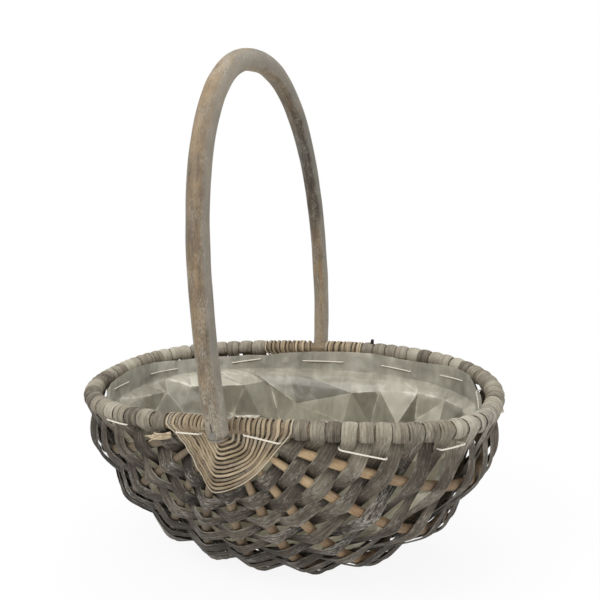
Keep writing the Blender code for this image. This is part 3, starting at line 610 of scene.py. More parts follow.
def make_film_material():
    """Thin clear plastic: milky, with painted reflection and painted light in tones by facet and soft
    streaks, and painted highlights along its creases.
    """
    material, g, shader = new_material("film")
    place = g.place()
    line, sharp, facet, band = (g.attribute(name) for name in ("Line", "Sharp", "Facet", "Band"))
    cloud = g.noise(place, 26.0, 4.0, 0.6)
    streak = g.noise(g.stretched(place, (1.0, 1.0, 0.35)), 75.0, 3.0, 0.6, 0.8)
    broken = g.noise(place, 70.0, 2.0)
    # Painted highlights along the creases: a thin pale line with a soft painted glow either side, broken up
    # by noise.
    core = g.math("SUBTRACT", 1.0, g.smooth(line, 0.2, 1.3))
    glow = g.math("SUBTRACT", 1.0, g.smooth(line, 0.0, 6.0))
    lit = g.math("MULTIPLY_ADD", glow, 0.35, core)
    crease = g.math("MULTIPLY", lit, g.math("MULTIPLY", sharp, g.smooth(broken, 0.35, 0.68)), clamp=True)
    # Painted reflections: soft hanging streaks in the band under the rim, and below it each facet's painted
    # tone.
    hanging_reflections = g.noise(g.stretched(place, (1.0, 1.0, 0.18)), 36.0, 3.0, 0.55, 0.5)
    tone = g.mix(band, facet, g.math("MULTIPLY_ADD", hanging_reflections, 2.2, -0.20))
    # The milky haze, with the painted reflections and the fine vertical streaks added in; the streaks give
    # painted light on small folds here and bumps in the normal.
    haze_and_sheen = g.math("MULTIPLY_ADD", cloud, 0.55, g.math("MULTIPLY_ADD", tone, 0.34, -0.20))
    haze_and_sheen = g.math("MULTIPLY_ADD", streak, 0.45, g.math("SUBTRACT", haze_and_sheen, 0.04))
    colour = g.ramp(g.math("MULTIPLY_ADD", crease, 0.55, haze_and_sheen), [
        (0.05, (0.240, 0.224, 0.176)), (0.40, (0.430, 0.406, 0.322)),
        (0.70, (0.700, 0.664, 0.540)), (1.00, (0.950, 0.920, 0.815))])
    g.link(colour, shader, "Base Color")
    alpha = g.math("MULTIPLY_ADD", haze_and_sheen, 0.10, g.math("MULTIPLY_ADD", crease, 0.05, 0.93), clamp=True)
    g.link(alpha, shader, "Alpha")
    shader.inputs["Roughness"].default_value = 0.20
    shader.inputs["Specular IOR Level"].default_value = 0.6
    even = g.mix(g.math("MULTIPLY", band, 0.7), g.bump(streak, 0.0010, 0.5), (0.0, -0.25, 1.0))
    g.link(even, shader, "Normal")
    through = g.add("ShaderNodeBsdfTranslucent", {"Color": g.mix(1.0, colour, (1.0, 0.97, 0.86), "MULTIPLY")})
    g.blend_surface(0.30, shader, through)
    return material


def make_nail_material():
    material, g, shader = new_material("nail_steel")
    colour = g.ramp(g.noise(g.place(), 900.0), [(0.3, (0.150, 0.138, 0.118)), (0.8, (0.280, 0.262, 0.230))])
    g.link(colour, shader, "Base Color")
    shader.inputs["Metallic"].default_value = 0.15
    shader.inputs["Roughness"].default_value = 0.7
    return material


thread_material = make_thread_material()
film = make_film_material()
nail_steel = make_nail_material()


# Rim, ribs and handle

def make_rim():
    points = []
    for v, far in ((0.0, False), (math.pi, True)):
        total = meridian(v)[1][-1]
        points += [bowl(at_distance(v, total * step / 110, far=far), v) for step in range(110)]
    points = np.array(points)
    angles = [2 * math.pi * a / RIM_SIDES for a in range(RIM_SIDES)]
    rings, tints = [], []
    for point, tangent in zip(points, loop_ways(points)):
        out = unit(np.cross(tangent, (0, 0, 1)))
        up = np.cross(out, tangent)
        rings.append([point + RIM_ROD_RADIUS * (math.cos(a) * out + math.sin(a) * up) for a in angles])
        pale = pale_share(point)
        tints.append((0.42 + 0.08 * wobble(point, 30, 3) + 0.25 * pale, 0, 0.35 + 1.2 * pale))
    across = [2 * math.pi * RIM_ROD_RADIUS * a / RIM_SIDES for a in range(RIM_SIDES + 1)]
    rim = skin("rim_rod", rings, across, loop_lengths(points), tints, closed=True)
    place_piece(rim, handle_wood, "rim_wood", "rim_hoop")


def make_ribs():
    """The ribs, tan to the right of the keel and duller to the left and at the right end."""
    dulls = (0.0, 0.10, 0.22, 0.45, 0.65, 0.80, 0.80, 0.80, 0.80)
    for number, (v, dull) in enumerate(zip(TURNS[1:-1], dulls), start=1):
        keel = number == 5
        name = "keel_rib" if keel else f"rib_{number if number < 5 else number - 1}"
        start = RIM_ROD_RADIUS + RIM_SEAT if keel else RIB_START
        us = np.linspace(at_distance(v, start), at_distance(v, start, far=True), 90)
        points = bowl(us, v)
        radii = [RIB_RADIUS if keel else rib_radius_at(u, v) for u in us]
        tints = []
        for point in points:
            end = min(max((point[0] - 0.10) / 0.05, 0.0), 1.0)
            tone = 0.28 + 0.34 * point[2] / RIM_HEIGHT + 0.12 * wobble(point, 25, number) - 0.16 * end
            tints.append((tone, min(dull + 0.45 * end, 1.0), 0.35))
        rib = rod(name + "_rod", points, radii, tints, sides=14, bumps=0.0002, seed=number)
        place_piece(rib, rib_wood, "rib_wood", name)


def leg_y(rise, radius):
    widest = HANDLE_OUTER_HALF_WIDTH - radius
    foot = RIM_HALF_WIDTH + RIM_ROD_RADIUS + RIM_SEAT + radius
    return widest - (widest - foot) * (1 - max(rise, 0.0) / HANDLE_WIDEST_RISE) ** 2


def leg_x(side, rise):
    """How far along the basket a handle leg's centre is: it leans back, and its feet are twisted apart."""
    lean = HANDLE_LEAN[0] * rise + HANDLE_LEAN[1] * rise**2
    low = max(1 - rise / HANDLE_TWIST_RISE, 0.0)
    return HANDLE_X + lean - side * HANDLE_TWIST * low**2


def make_handle():
    def leg(side, radius):
        """A leg's across, rise and radius, from the rounded end of its foot up."""
        found = []
        for share, drop in ((0.45, 0.0), (0.78, 0.0009), (0.95, 0.0024), (1.0, 0.0044)):
            found.append((side * leg_y(0, radius), drop - HANDLE_FOOT_DROP - 0.0015, radius * share))
        for step in range(30):
            rise = HANDLE_WIDEST_RISE * step / 30
            found.append((side * leg_y(rise, radius), rise, radius))
        return found

    arch = []
    for step in range(121):
        turn = math.pi * step / 120
        foot = HANDLE_NEAR_RADIUS if math.cos(turn) > 0 else HANDLE_FAR_RADIUS
        radius = HANDLE_TOP_RADIUS + (foot - HANDLE_TOP_RADIUS) * math.cos(turn) ** 2
        across = signed_power(math.cos(turn), 2 / HANDLE_SIDE_POWER)
        top = (HANDLE_RISE - HANDLE_WIDEST_RISE) * abs(math.sin(turn)) ** (2 / HANDLE_TOP_POWER)
        arch.append((-across * (HANDLE_OUTER_HALF_WIDTH - foot), HANDLE_WIDEST_RISE + top, radius))
    line = leg(-1, HANDLE_NEAR_RADIUS) + arch + leg(1, HANDLE_FAR_RADIUS)[::-1]
    points = np.array([(leg_x(math.copysign(1, y), rise), y, RIM_HEIGHT + rise) for y, rise, _ in line])
    radii = [radius for _, _, radius in line]
    tone_rises = (0.0, 0.05, 0.10, 0.17, 0.25, 0.30)
    tints = []
    for y, rise, _ in line:
        if y < 0:
            tone = np.interp(rise, tone_rises, (0.44, 0.34, 0.36, 0.38, 0.46, 0.56))
            white = np.interp(rise, (0.0, 0.06, 0.14, 0.25, 0.30), (1.1, 0.7, 0.4, 0.35, 0.7))
        else:
            # Painted shade: the far leg darkens to near black between 0.17 and 0.25 m up.
            tone = np.interp(rise, tone_rises, (0.62, 0.52, 0.40, 0.12, 0.06, 0.40))
            white = np.interp(rise, (0.0, 0.10, 0.17, 0.28), (1.1, 0.7, 0.4, 0.5))
        tints.append((tone, 0, white))
    padded = np.pad(np.array(tints), ((6, 6), (0, 0)), mode="edge")
    tints = np.stack([np.convolve(padded[:, c], np.ones(13) / 13, mode="valid") for c in range(3)], axis=1)
    reference = np.tile((1.0, 0.0, 0.0), (len(points), 1))
    hoop = rod("handle_rod", points, radii, tints, sides=28, reference=reference, bumps=0.00035, seed=2)
    place_piece(hoop, handle_wood, "handle_wood", "handle_hoop")


def make_small_pieces():
    """A dark rod on the near foot as the painted shade of a slot, a twig stub on the far rim and a frayed end
    under the near rim.
    """
    rises = np.linspace(0.0065, 0.0150, 9)
    front = HANDLE_NEAR_RADIUS
    points = [(leg_x(-1, rise), -leg_y(rise, front) - front, RIM_HEIGHT + rise) for rise in rises]
    radii = 0.0008 * np.sqrt(np.maximum(1 - np.linspace(-1, 1, 9) ** 2, 0.06))
    # Painted shade: a thin near-black rod on the foot's face stands for the shadow inside a slot.
    slot = rod("nail_slot_shade", points, radii, [(0.02, 0, 0)] * 9, sides=8)
    place_piece(slot, handle_wood, "handle_wood")
    base = bowl(1.365, 0.0)
    points = [base + np.array([0.0012 + 0.0002 * k, 0.0, 0.0040 + 0.0018 * k]) for k in range(6)]
    radii = [0.0019, 0.0020, 0.0021, 0.0020, 0.0019, 0.0015]
    stub = rod("twig_stub", points, radii, [(0.04, 0, 0)] * 6, sides=10)
    place_piece(stub, bark, "bark_strip")
    chance = random.Random(12)
    root = bowl(-1.395, 2.95) + np.array([0.0, -0.0085, 0.0])
    for number in range(9):
        tip = bowl(-1.29 + chance.uniform(-0.03, 0.03), 2.97 + chance.uniform(-0.05, 0.05))
        tip = tip + np.array([0.0, -0.0115 + chance.uniform(-0.001, 0.001), -0.001])
        steps = np.linspace(0, 1, 7)[:, None]
        spread = np.array([0.0, -0.0016, chance.uniform(-0.0012, 0.0026)]) * np.sin(math.pi * steps)
        points = root + (tip - root) * steps + spread + np.array([0.0, 0.0, chance.uniform(-0.0018, 0.0018)])
        radii = np.linspace(0.0014, 0.0005, 7)
        tints = [(chance.uniform(0.45, 0.95), 0, 0.6)] * 7
        fibre = rod(f"frayed_fibre_{number + 1}", points, radii, tints, sides=6)
        place_piece(fibre, cane, "lashing_cane")


# Woven strips

def strip_profile():
    """Across and up shares of a strip's section."""
    angles = [2 * math.pi * k / 16 for k in range(16)]
    across = np.array([signed_power(math.cos(a), 0.45) for a in angles])
    up = np.array([signed_power(math.sin(a), 0.75) for a in angles])
    return across, up


def strip_from(name, centres, sideways, normals, halves, domes, tints):
    """A bark strip through frames, with a thin section that bulges by its dome."""
    across, up = strip_profile()
    rings = []
    for centre, side, normal, half, dome in zip(centres, sideways, normals, halves, domes):
        lift = dome * (1 - across**2) + up * STRIP_SHEET / 2
        rings.append(centre + np.outer(across * half, side) + np.outer(lift, normal))
    flat = np.append(across, across[0]) * float(np.mean(halves))
    return skin(name, rings, flat, lengths_along(centres), tints, edges=np.abs(across))


def row_tone(row):
    tones = random.Random(100 + row)
    return tones.uniform(-0.10, 0.10), tones.random() ** 2, tones.uniform(0.35, 1.0)


def on_outline(share, v):
    """How near a strip stands to the outline that the photograph shows, 0 to 1."""
    return math.exp(-(((share - 0.5 - 0.14 * math.cos(v)) / 0.13) ** 2))


def strip_tint(point, row, lift):
    """A strip's tone, hue and limewash: darker low down and at the left, paler at the rim, with painted shade
    where it dips inside the ribs and painted light where it stands out.
    """
    base_tone, hue, white = row_tone(row)
    height = min(max(point[2] / RIM_HEIGHT, 0.0), 1.05)
    rimward = max(0.0, (height - 0.86) / 0.14)
    left = max(0.0, (HANDLE_X - point[0]) / RIM_REACH_LEFT)
    tone = 0.150 + 0.175 * height + base_tone + (0.20 + 0.7 * base_tone) * rimward
    tone -= 0.12 * left * (1 - rimward)
    if point[1] > 0.0 or point[0] > 0.15:
        tone += 0.06 * rimward
    if left == 0.0:
        tone += 0.07 * height**2 * (1 - rimward)
    elif point[1] > 0.0:
        tone += 0.10 * rimward * left
    # Painted shade where the strip dips in behind the ribs, and painted light where it stands out over them;
    # the wobble is a random tone.
    tone += 0.14 * wobble(point, 26, row) + 0.05 * lift - 0.06 * (lift < -0.3)
    pale = pale_share(point)
    washed = white * (0.50 + 0.3 * max(lift, 0.0) + 0.5 * wobble(point, 14, row + 50)) + 0.8 * pale
    return tone + 0.10 * pale, hue, washed


def make_strip(row):
    """A strip, wrapped on the rim at both ends. Its frames: centre, side, normal, half width, dome, lift."""
    shifts = random.Random(500 + row)
    share = (row + 0.5) / STRIP_COUNT
    outside = row % 2 == 1
    facing = 1 if outside else -1
    widths = [0.0] * len(TURNS)

    def pitch_at(v):
        below, above = (bowl(woven(v, share + half / STRIP_COUNT), v) for half in (-0.5, 0.5))
        return np.linalg.norm(above - below)

    def wrap(v):
        """Frames round the rim rod at one end of the strip, and the way in which it leaves the rod."""
        centre, along, out, up = rim_frame(woven(v, share), v)
        start, end = BAND_ANGLES_OUTSIDE if outside else BAND_ANGLES_INSIDE
        start += shifts.uniform(-6, 6)
        narrow = row == NARROW_BAND_ROW and v == 0.0
        half = pitch_at(v) * (NARROW_BAND_SHARE if narrow else shifts.uniform(0.435, 0.495))
        shift, skew = shifts.gauss(0, 0.0004), shifts.gauss(0, 0.0009)
        angles = np.radians(np.linspace(start, end, BAND_STEPS))

        def radial(angle):
            return math.cos(angle) * out + math.sin(angle) * up

        found = []
        for i, angle in enumerate(angles):
            point = centre + radial(angle) * (RIM_ROD_RADIUS + BAND_STAND_OFF)
            point = point + along * (shift + skew * (i / (BAND_STEPS - 1) - 0.5))
            found.append((point, along, facing * radial(angle), half, facing * BAND_DOME, 0.0))
        return found, unit(radial(angles[-1] - facing * math.radians(1)) - radial(angles[-1]))

    def crossing(i):
        """The strip's place at a rib: u, point, frame, how far outward it lies and how far along the rib."""
        v = TURNS[i]
        side = 1 if (row + i) % 2 == 1 else -1
        open_side = max(0.0, math.cos(v)) * max(0.0, 1 - ((share - 0.45) / 0.2) ** 2)
        outline = on_outline(share, v)
        spread = (0.60 if side > 0 else 0.52) + 0.06 * math.sin(v) ** 2 + 0.12 * outline
        widest = STRIP_WIDEST_HALF + 0.0022 * outline
        widths[i] = min(widest, spread * pitch_at(v)) * (1 - 0.14 * open_side) * shifts.uniform(0.92, 1.06)
        u = woven(v, share)
        radius = RIB_RADIUS if i == 5 else rib_radius_at(u, v)
        bulge = OUTLINE_BULGE * outline * math.sin(v) if side > 0 else 0.0
        return u, *frames_at(u, v), side * (radius + STRIP_STAND_OFF) + bulge, wanders[i]

    def cup(v, lift):
        """How far the middle of the strip bulges over its edges, more where it is the outline."""
        return STRIP_DOME + OUTLINE_CUP * on_outline(share, v) * math.sin(v) * max(lift, 0.0)

    def knot(crossed):
        u, point, along, normal, offset, wander = crossed
        return point + normal * offset + along * wander

    def end_run(v, wrapped, way, i, crossed, onward, widen, count):
        """Frames from the rim to the crossing next to it."""
        point, side, normal, half, dome, _ = wrapped[-1]
        end = knot(crossed)
        gap = np.linalg.norm(end - point)
        run = hermite(point, way * gap * 0.8, end, onward * gap * 0.7, RUN_STEPS)
        end_cup = cup(TURNS[i], math.copysign(1.0, crossed[4]))
        found = []
        for k in range(1, count):
            t = k / (RUN_STEPS - 1)
            swell = math.sin(math.pi * t)
            found.append((
                run[k], unit((1 - t) * side + t * crossed[2]), unit((1 - t) * normal + t * crossed[3]),
                ((1 - t) * half + t * widths[i]) * (1 + widen * swell),
                dome * (1 - t) ** 2 + end_cup * t + END_CUP * on_outline(share, v) * swell, 0.0))
        return found

    wanders = [shifts.gauss(0, STRIP_WANDER) for _ in TURNS]
    twists = [shifts.gauss(0, STRIP_TWIST) for _ in TURNS]
    first_wrap, first_way = wrap(0.0)
    last_wrap, last_way = wrap(math.pi)
    crossings = [crossing(i) for i in range(1, len(TURNS) - 1)]
    onward = unit(knot(crossings[1]) - knot(crossings[0]))
    widen = 0.32 * on_outline(share, 0.0) - 0.05
    frames = first_wrap + end_run(0.0, first_wrap, first_way, 1, crossings[0], onward, widen, RUN_STEPS - 1)
    for a, b, i in zip(crossings, crossings[1:], range(1, len(TURNS) - 2)):
        for k in range(RUN_STEPS):
            t = k / RUN_STEPS
            v = TURNS[i] + (TURNS[i + 1] - TURNS[i]) * t
            point, along, normal = frames_at(a[0] + (b[0] - a[0]) * t, v)
            blend = min(max(1.22 * (1 - 2 * t), -1.0), 1.0)
            offset = (a[4] if t < 0.5 else -b[4]) * blend
            lift = math.copysign(1.0, a[4]) * blend
            wander = a[5] * (1 - t) + b[5] * t
            centre = 0.45 * point + 0.55 * (a[1] * (1 - t) + b[1] * t) + normal * offset + along * wander
            twist = (twists[i] * (1 - t) + twists[i + 1] * t) * math.sin(math.pi * t)
            open_run = max(0.0, math.cos(v)) ** 0.5 * max(0.0, 1 - ((share - 0.34) / 0.24) ** 2)
            narrow = 0.03 + 0.30 * open_run - 0.16 * on_outline(share, v)
            half = (widths[i] * (1 - t) + widths[i + 1] * t) * (1 - narrow * math.sin(math.pi * t) ** 2)
            frames.append((
                centre, along * math.cos(twist) + normal * math.sin(twist),
                normal * math.cos(twist) - along * math.sin(twist), half, cup(v, lift), lift))
    onward = unit(knot(crossings[-2]) - knot(crossings[-1]))
    last = end_run(math.pi, last_wrap, last_way, len(TURNS) - 2, crossings[-1], onward, -0.05, RUN_STEPS)
    frames += last[::-1] + last_wrap[::-1]
    centres, sides, normals, halves, domes, lifts = (list(values) for values in zip(*frames))
    tints = []
    for k, point in enumerate(centres):
        tints.append(strip_tint(point, row, lifts[k]))
        halves[k] *= 1 + 0.07 * wobble(point, 70, row + 90) + 0.05 * wobble(point, 170, row + 130)
        centres[k] = point + sides[k] * 0.0005 * wobble(point, 60, row + 170)
    centres = np.array(centres)
    centres[:, 2] = np.maximum(centres[:, 2], STRIP_LOWEST)
    strip = strip_from(f"bark_strip_{row + 1:02d}", centres, sides, normals, halves, domes, tints)
    for vertex in strip.data.vertices:
        vertex.co.z = max(vertex.co.z, FLOOR_GAP)
    place_piece(strip, bark, "bark_strip", f"weave_strip_{row + 1:02d}")


# Lashings

def lash_line(v, far, rim_distances, tip_distance, corners):
    """Distance from the ear of a strand that runs straight from the rim to a corner, and on to the tip."""
    on_long_arm, to_tip = arm_share(v, far)
    rim_distance, corner = rim_distances[not on_long_arm], corners[not on_long_arm]
    way = math.cos(to_tip * math.pi / 2), math.sin(to_tip * math.pi / 2)
    knots = np.array([(rim_distance, 0.0), (corner[0] * rim_distance, corner[1] * tip_distance),
                      (0.0, tip_distance)])
    sharp = 14.0
    total = 0.0
    for first, second in zip(knots, knots[1:]):
        edge = second - first
        distance = (first[0] * edge[1] - first[1] * edge[0]) / (way[0] * edge[1] - way[1] * edge[0])
        total += distance**-sharp
    return total ** (-1 / sharp)


def make_strand(far, loop, jitter):
    """A strand of split cane: over the rim, down to the keel, up over the rim, and back behind the ribs."""
    turns = TURNS if not far else TURNS[::-1]
    share = loop / (STRAND_COUNT - 1)
    last = loop == STRAND_COUNT - 1
    long_distance = STRAND_FIRST + (LASH_LONG_REACH - STRAND_FIRST) * share + jitter.gauss(0, 0.0005)
    short_distance = STRAND_FIRST + (LASH_SHORT_REACH - STRAND_FIRST) * share + jitter.gauss(0, 0.0004)
    tip_distance = STRAND_TIP_FIRST + (LASH_TIP_REACH - STRAND_TIP_FIRST) * share
    slant = jitter.gauss(0.0012, 0.0012)
    corners = (0.80 - 0.23 * share, 0.80 - 0.25 * share), (0.54, 0.53)
    frames = []

    def wrap(v, distance, angles, shift):
        for k, angle in enumerate(angles):
            u = at_distance(v, distance + shift * k / len(angles), far=far)
            centre, along, out, up = rim_frame(u, v)
            radial = math.cos(angle) * out + math.sin(angle) * up
            frames.append((centre + radial * (RIM_ROD_RADIUS + STRAND_STAND_OFF), radial, STRAND_RIM_HALF))

    def run(path, front):
        for v in path:
            distance = lash_line(v, far, (long_distance, short_distance), tip_distance, corners)
            point, along, normal = frames_at(at_distance(v, distance, far=far), v)
            near_keel = math.exp(-(((v - math.pi / 2) / 0.15) ** 2))
            bump = 0.0
            if distance > RIB_START - 0.004:
                ribs = RIB_TURNS + [math.pi - turn for turn in RIB_TURNS]
                bump = max(math.exp(-(((v - rib_v) / 0.12) ** 2)) * 0.0018 for rib_v in ribs)
            lift = 0.0030 + (RIB_RADIUS - 0.0010) * near_keel + bump
            half = STRAND_HALF - 0.0002 * near_keel
            if front:
                frames.append((point + normal * lift, normal, half))
            else:
                frames.append((point - normal * (lift + 0.0006), -normal, half))

    first = turns[0] + (turns[1] - turns[0]) * 0.6
    final = turns[-2] + (turns[-1] - turns[-2]) * 0.4
    wrap(turns[0], long_distance - slant, np.radians(np.linspace(200, -8, 13)), slant)
    run(np.linspace(first, final, 61), True)
    wrap(turns[-1], short_distance, np.radians(np.linspace(-8, 200, 13)), -slant)
    run(np.linspace(final, first, 25), False)
    centres, normals, halves = (np.array(values) for values in zip(*frames))
    centres, normals = soften(centres), unit(soften(normals))
    tone = 0.45 + STRAND_TONES[loop % 4] + jitter.uniform(-0.08, 0.06) + (0.16 if last else 0.0)
    white = 0.25 + 0.5 * jitter.random() + (0.7 if last else 0.0)
    angles = [2 * math.pi * k / 10 for k in range(10)]
    across, up = np.cos(angles), np.sin(angles)
    rings, tints = [], []
    for point, normal, tangent, half in zip(centres, normals, loop_ways(centres), halves):
        half = half * (0.50 if last else 1.0) * (1 + 0.16 * wobble(point, 90, loop))
        side = unit(np.cross(normal, tangent))
        rings.append(point + np.outer(across * half, side) + np.outer(up * STRAND_RISE, normal))
        tints.append((tone + 0.30 * wobble(point, 40, loop), 0.0, white))
    name = f"cane_{'far' if far else 'near'}_{loop + 1:02d}"
    flat = [0.0006 * k for k in range(11)]
    strand = skin(name, rings, flat, loop_lengths(centres), tints, edges=np.abs(across) * 0.9, closed=True)
    place_piece(strand, cane, "lashing_cane", "ear_lashing_far" if far else "ear_lashing_near")


def make_lashing(far):
    jitter = random.Random(40 + far)
    for loop in range(STRAND_COUNT):
        make_strand(far, loop, jitter)


# Liner

def liner_height(x, y, inset, depth_inset):
    """Depth of the liner under a plan point."""
    reach = (RIM_REACH_RIGHT if x > HANDLE_X else RIM_REACH_LEFT) - inset
    across = min(abs(y) / (RIM_HALF_WIDTH - inset), 1.0)
    keel_line = (KEEL_DEPTH - depth_inset) * (1 - across**KEEL_POWER) ** (1 / KEEL_POWER)
    half = reach * (1 - across**RIM_POWER) ** (1 / RIM_POWER)
    share = min(abs(x - HANDLE_X) / max(half, 0.0003), 1.0)
    section = (1 - share**SECTION_POWER) ** (1 / SECTION_POWER)
    return depth_under(keel_line, BASE_DEPTH - depth_inset, section)


def liner_point(column, fall, pull, drop=LINER_SEAM_DROP):
    """Point of the liner, at a column round it and a fall from a drop below the rim, 0, to its middle, 1."""
    turn = 2 * math.pi * column / LINER_COLUMNS
    inset = LINER_PLAN_INSET + pull
    depth_inset = LINER_DEPTH_INSET + LINER_LIFT_SHARE * pull
    reach = (RIM_REACH_RIGHT if math.cos(turn) > 0 else RIM_REACH_LEFT) - inset
    edge_x = reach * signed_power(math.cos(turn), 2 / RIM_POWER)
    edge_y = (RIM_HALF_WIDTH - inset) * signed_power(math.sin(turn), 2 / RIM_POWER)
    low, high = 0.0, 1.0
    for _ in range(LINER_SOLVE_ROUNDS):
        middle = (low + high) / 2
        deep = liner_height(HANDLE_X + edge_x * middle, edge_y * middle, inset, depth_inset) > drop
        low, high = (middle, high) if deep else (low, middle)
    share = math.sin(math.asin(low) * (1 - fall))
    x, y = HANDLE_X + edge_x * share, edge_y * share
    return Vector(settled(x, y, liner_height(x, y, inset, depth_inset)))


def liner_folds():
    """Rows of the folds' corners below the seam: each one's column, fall and pull inward."""
    chance = random.Random(LINER_FOLD_SEED)
    rows = []
    for row, fall in enumerate(LINER_FALLS):
        corners = []
        for column in range(LINER_COLUMNS):
            across = column + (0.5 if row % 2 else 0.0) + chance.uniform(-LINER_TURN_SWAY, LINER_TURN_SWAY)
            down = fall + chance.uniform(-LINER_FALL_SWAY, LINER_FALL_SWAY)
            pull = chance.choice(LINER_PULLS) * LINER_PULL_SHARES[row]
            corners.append(LINER_SEEN_FOLDS.get((row, column), (across, down, pull)))
        rows.append(corners)
    return rows


def liner_surface():
    """Rows of points of the film, from its top edge down, and the middle of its base."""
    halves = range(2 * LINER_COLUMNS)
    top = [liner_point(half / 2, 0, 0, LINER_TOP_DROP) for half in halves]
    for half, rise in LINER_EDGE_RISES.items():
        top[half].z += rise
    rows = [top, [liner_point(half / 2, 0, 0) for half in halves]]
    rows += [[liner_point(*corner) for corner in corners] for corners in liner_folds()]
    return rows, liner_point(0, 1, 0)


def liner_faces(rows, centre):
    """Triangles over the rows: a plain band, then half columns drawn into columns, then the folds."""
    faces = []
    top, seam, first = rows[:3]
    count = len(seam)
    for i in range(count):
        j = (i + 1) % count
        faces += [(top[i], top[j], seam[j]), (top[i], seam[j], seam[i])]
    for i in range(LINER_COLUMNS):
        j = (i + 1) % LINER_COLUMNS
        middle, last = seam[2 * i + 1], seam[(2 * i + 2) % count]
        faces += [(seam[2 * i], middle, first[i]), (middle, first[j], first[i]), (middle, last, first[j])]
    for number, (upper, lower) in enumerate(zip(rows[2:], rows[3:])):
        for i in range(LINER_COLUMNS):
            j = (i + 1) % LINER_COLUMNS
            if number % 2:
                faces += [(upper[i], upper[j], lower[j]), (upper[i], lower[j], lower[i])]
            else:
                faces += [(upper[i], upper[j], lower[i]), (upper[j], lower[j], lower[i])]
    for i in range(LINER_COLUMNS):
        faces.append((rows[-1][i], rows[-1][(i + 1) % LINER_COLUMNS], centre))
    return faces


def fold_strengths(points, faces, band):
    """How sharp each coarse edge is, from 0 for flat to 1; the smooth band above the seam has faint ones."""
    normals = [(points[b] - points[a]).cross(points[c] - points[a]).normalized() for a, b, c in faces]
    sides = {}
    for face, normal in zip(faces, normals):
        for a, b in zip(face, face[1:] + face[:1]):
            sides.setdefault((min(a, b), max(a, b)), []).append(normal)
    found = {}
    for edge, both in sides.items():
        turn = both[0].angle(both[1]) if len(both) == 2 else 0.0
        found[edge] = min(max((turn - 0.12) / 0.55, 0.0), 1.0) * (0.25 if max(edge) < band else 1.0)
    return found, normals


def split_facets(points, faces, strengths, normals):
    """The facets split up: points, triangles, each point's nearest crease, and each triangle's tone of
    painted reflection and painted light.
    """
    verts, tris, lines, tones, places = [], [], [], [], {}
    facet_tones = random.Random(5)
    count = LINER_CUTS + 1
    for face, normal in zip(faces, normals):
        a, b, c = (points[k] for k in face)
        edges = [(face[1], face[2]), (face[2], face[0]), (face[0], face[1])]
        sharp = [strengths[(min(e), max(e))] for e in edges]
        area = (b - a).cross(c - a).length
        heights = [area / (points[e[0]] - points[e[1]]).length for e in edges]
        # Painted reflection and light: a random tone for each facet, brighter the flatter it lies, as if
        # facing the lamps above.
        bright = 0.5 + 0.42 * facet_tones.gauss(0, 1) + 0.5 * (abs(normal.z) - 0.5)
        grid = {}
        for i in range(count + 1):
            for j in range(count + 1 - i):
                w = (1 - (i + j) / count, i / count, j / count)
                point = a * w[0] + b * w[1] + c * w[2]
                key = tuple(round(x * 1e6) for x in point)
                if key not in places:
                    places[key] = len(verts)
                    verts.append(point)
                    lines.append([9.0, 0.0])
                grid[i, j] = places[key]
                for share, strength, height in zip(w, sharp, heights):
                    distance = share * height * 1000
                    if strength > 0.04 and distance < lines[grid[i, j]][0]:
                        lines[grid[i, j]] = [distance, strength]
        for i in range(count):
            for j in range(count - i):
                tris.append((grid[i, j], grid[i + 1, j], grid[i, j + 1]))
                tones.append(bright)
                if i + j < LINER_CUTS:
                    tris.append((grid[i + 1, j], grid[i + 1, j + 1], grid[i, j + 1]))
                    tones.append(bright)
    return verts, tris, lines, tones


def make_liner():
    """The film: the part's main folds, each facet split up and crumpled, with its crease lines."""
    rows, middle = liner_surface()
    points = [point for row in rows for point in row] + [middle]
    numbered, start = [], 0
    for row in rows:
        numbered.append(list(range(start, start + len(row))))
        start += len(row)
    faces = liner_faces(numbered, start)
    strengths, normals = fold_strengths(points, faces, 4 * LINER_COLUMNS)
    verts, tris, lines, tones = split_facets(points, faces, strengths, normals)
    outward = {}
    for face in tris:
        a, b, c = (verts[k] for k in face)
        normal = (b - a).cross(c - a).normalized()
        for k in face:
            outward[k] = outward.get(k, Vector()) + normal
    moved, bands = [], []
    for k, point in enumerate(verts):
        normal = outward[k].normalized()
        if normal.dot(point - Vector((HANDLE_X, 0, 0.14))) > 0:
            normal = -normal
        dent = 0.00144 * abs(noise.noise(point * 60)) + 0.0008 * abs(noise.noise(point * 150))
        moved.append(tuple(point + normal * dent))
        fall = RIM_HEIGHT - LINER_SEAM_DROP - point.z
        bands.append(1.0 - min(max(fall / 0.016, 0.0), 1.0) ** 0.7)
    mesh = bpy.data.meshes.new("film_liner")
    mesh.from_pydata(moved, [], tris)
    fill(mesh, "Line", "POINT", [line[0] for line in lines])
    fill(mesh, "Sharp", "POINT", [line[1] for line in lines])
    fill(mesh, "Band", "POINT", bands)
    fill(mesh, "Facet", "FACE", tones)
    mesh.shade_smooth()
    mesh.set_sharp_from_angle(angle=math.radians(20))
    liner = add_object("film_liner", mesh)
    place_piece(liner, film, "liner_film", "liner")


# Stitches

def thread_spot(column, drop, outside):
    """A place on the thread's line: in front of the weave, or inside on the liner."""
    spot = np.array(liner_point(column, 0, 0, drop))
    turn = 2 * math.pi * column / LINER_COLUMNS
    reach = RIM_REACH_RIGHT if math.cos(turn) > 0 else RIM_REACH_LEFT
    plan = np.array([(spot[0] - HANDLE_X) / reach, spot[1] / RIM_HALF_WIDTH])
    way = np.sign(plan) * np.abs(plan) ** (RIM_POWER - 1) / np.array([reach, RIM_HALF_WIDTH])
    way = np.append(way / np.linalg.norm(way), THREAD_RISE if outside else THREAD_FALL)
    return spot + way * (LINER_PLAN_INSET + THREAD_STAND_OUT if outside else -THREAD_STAND_IN)


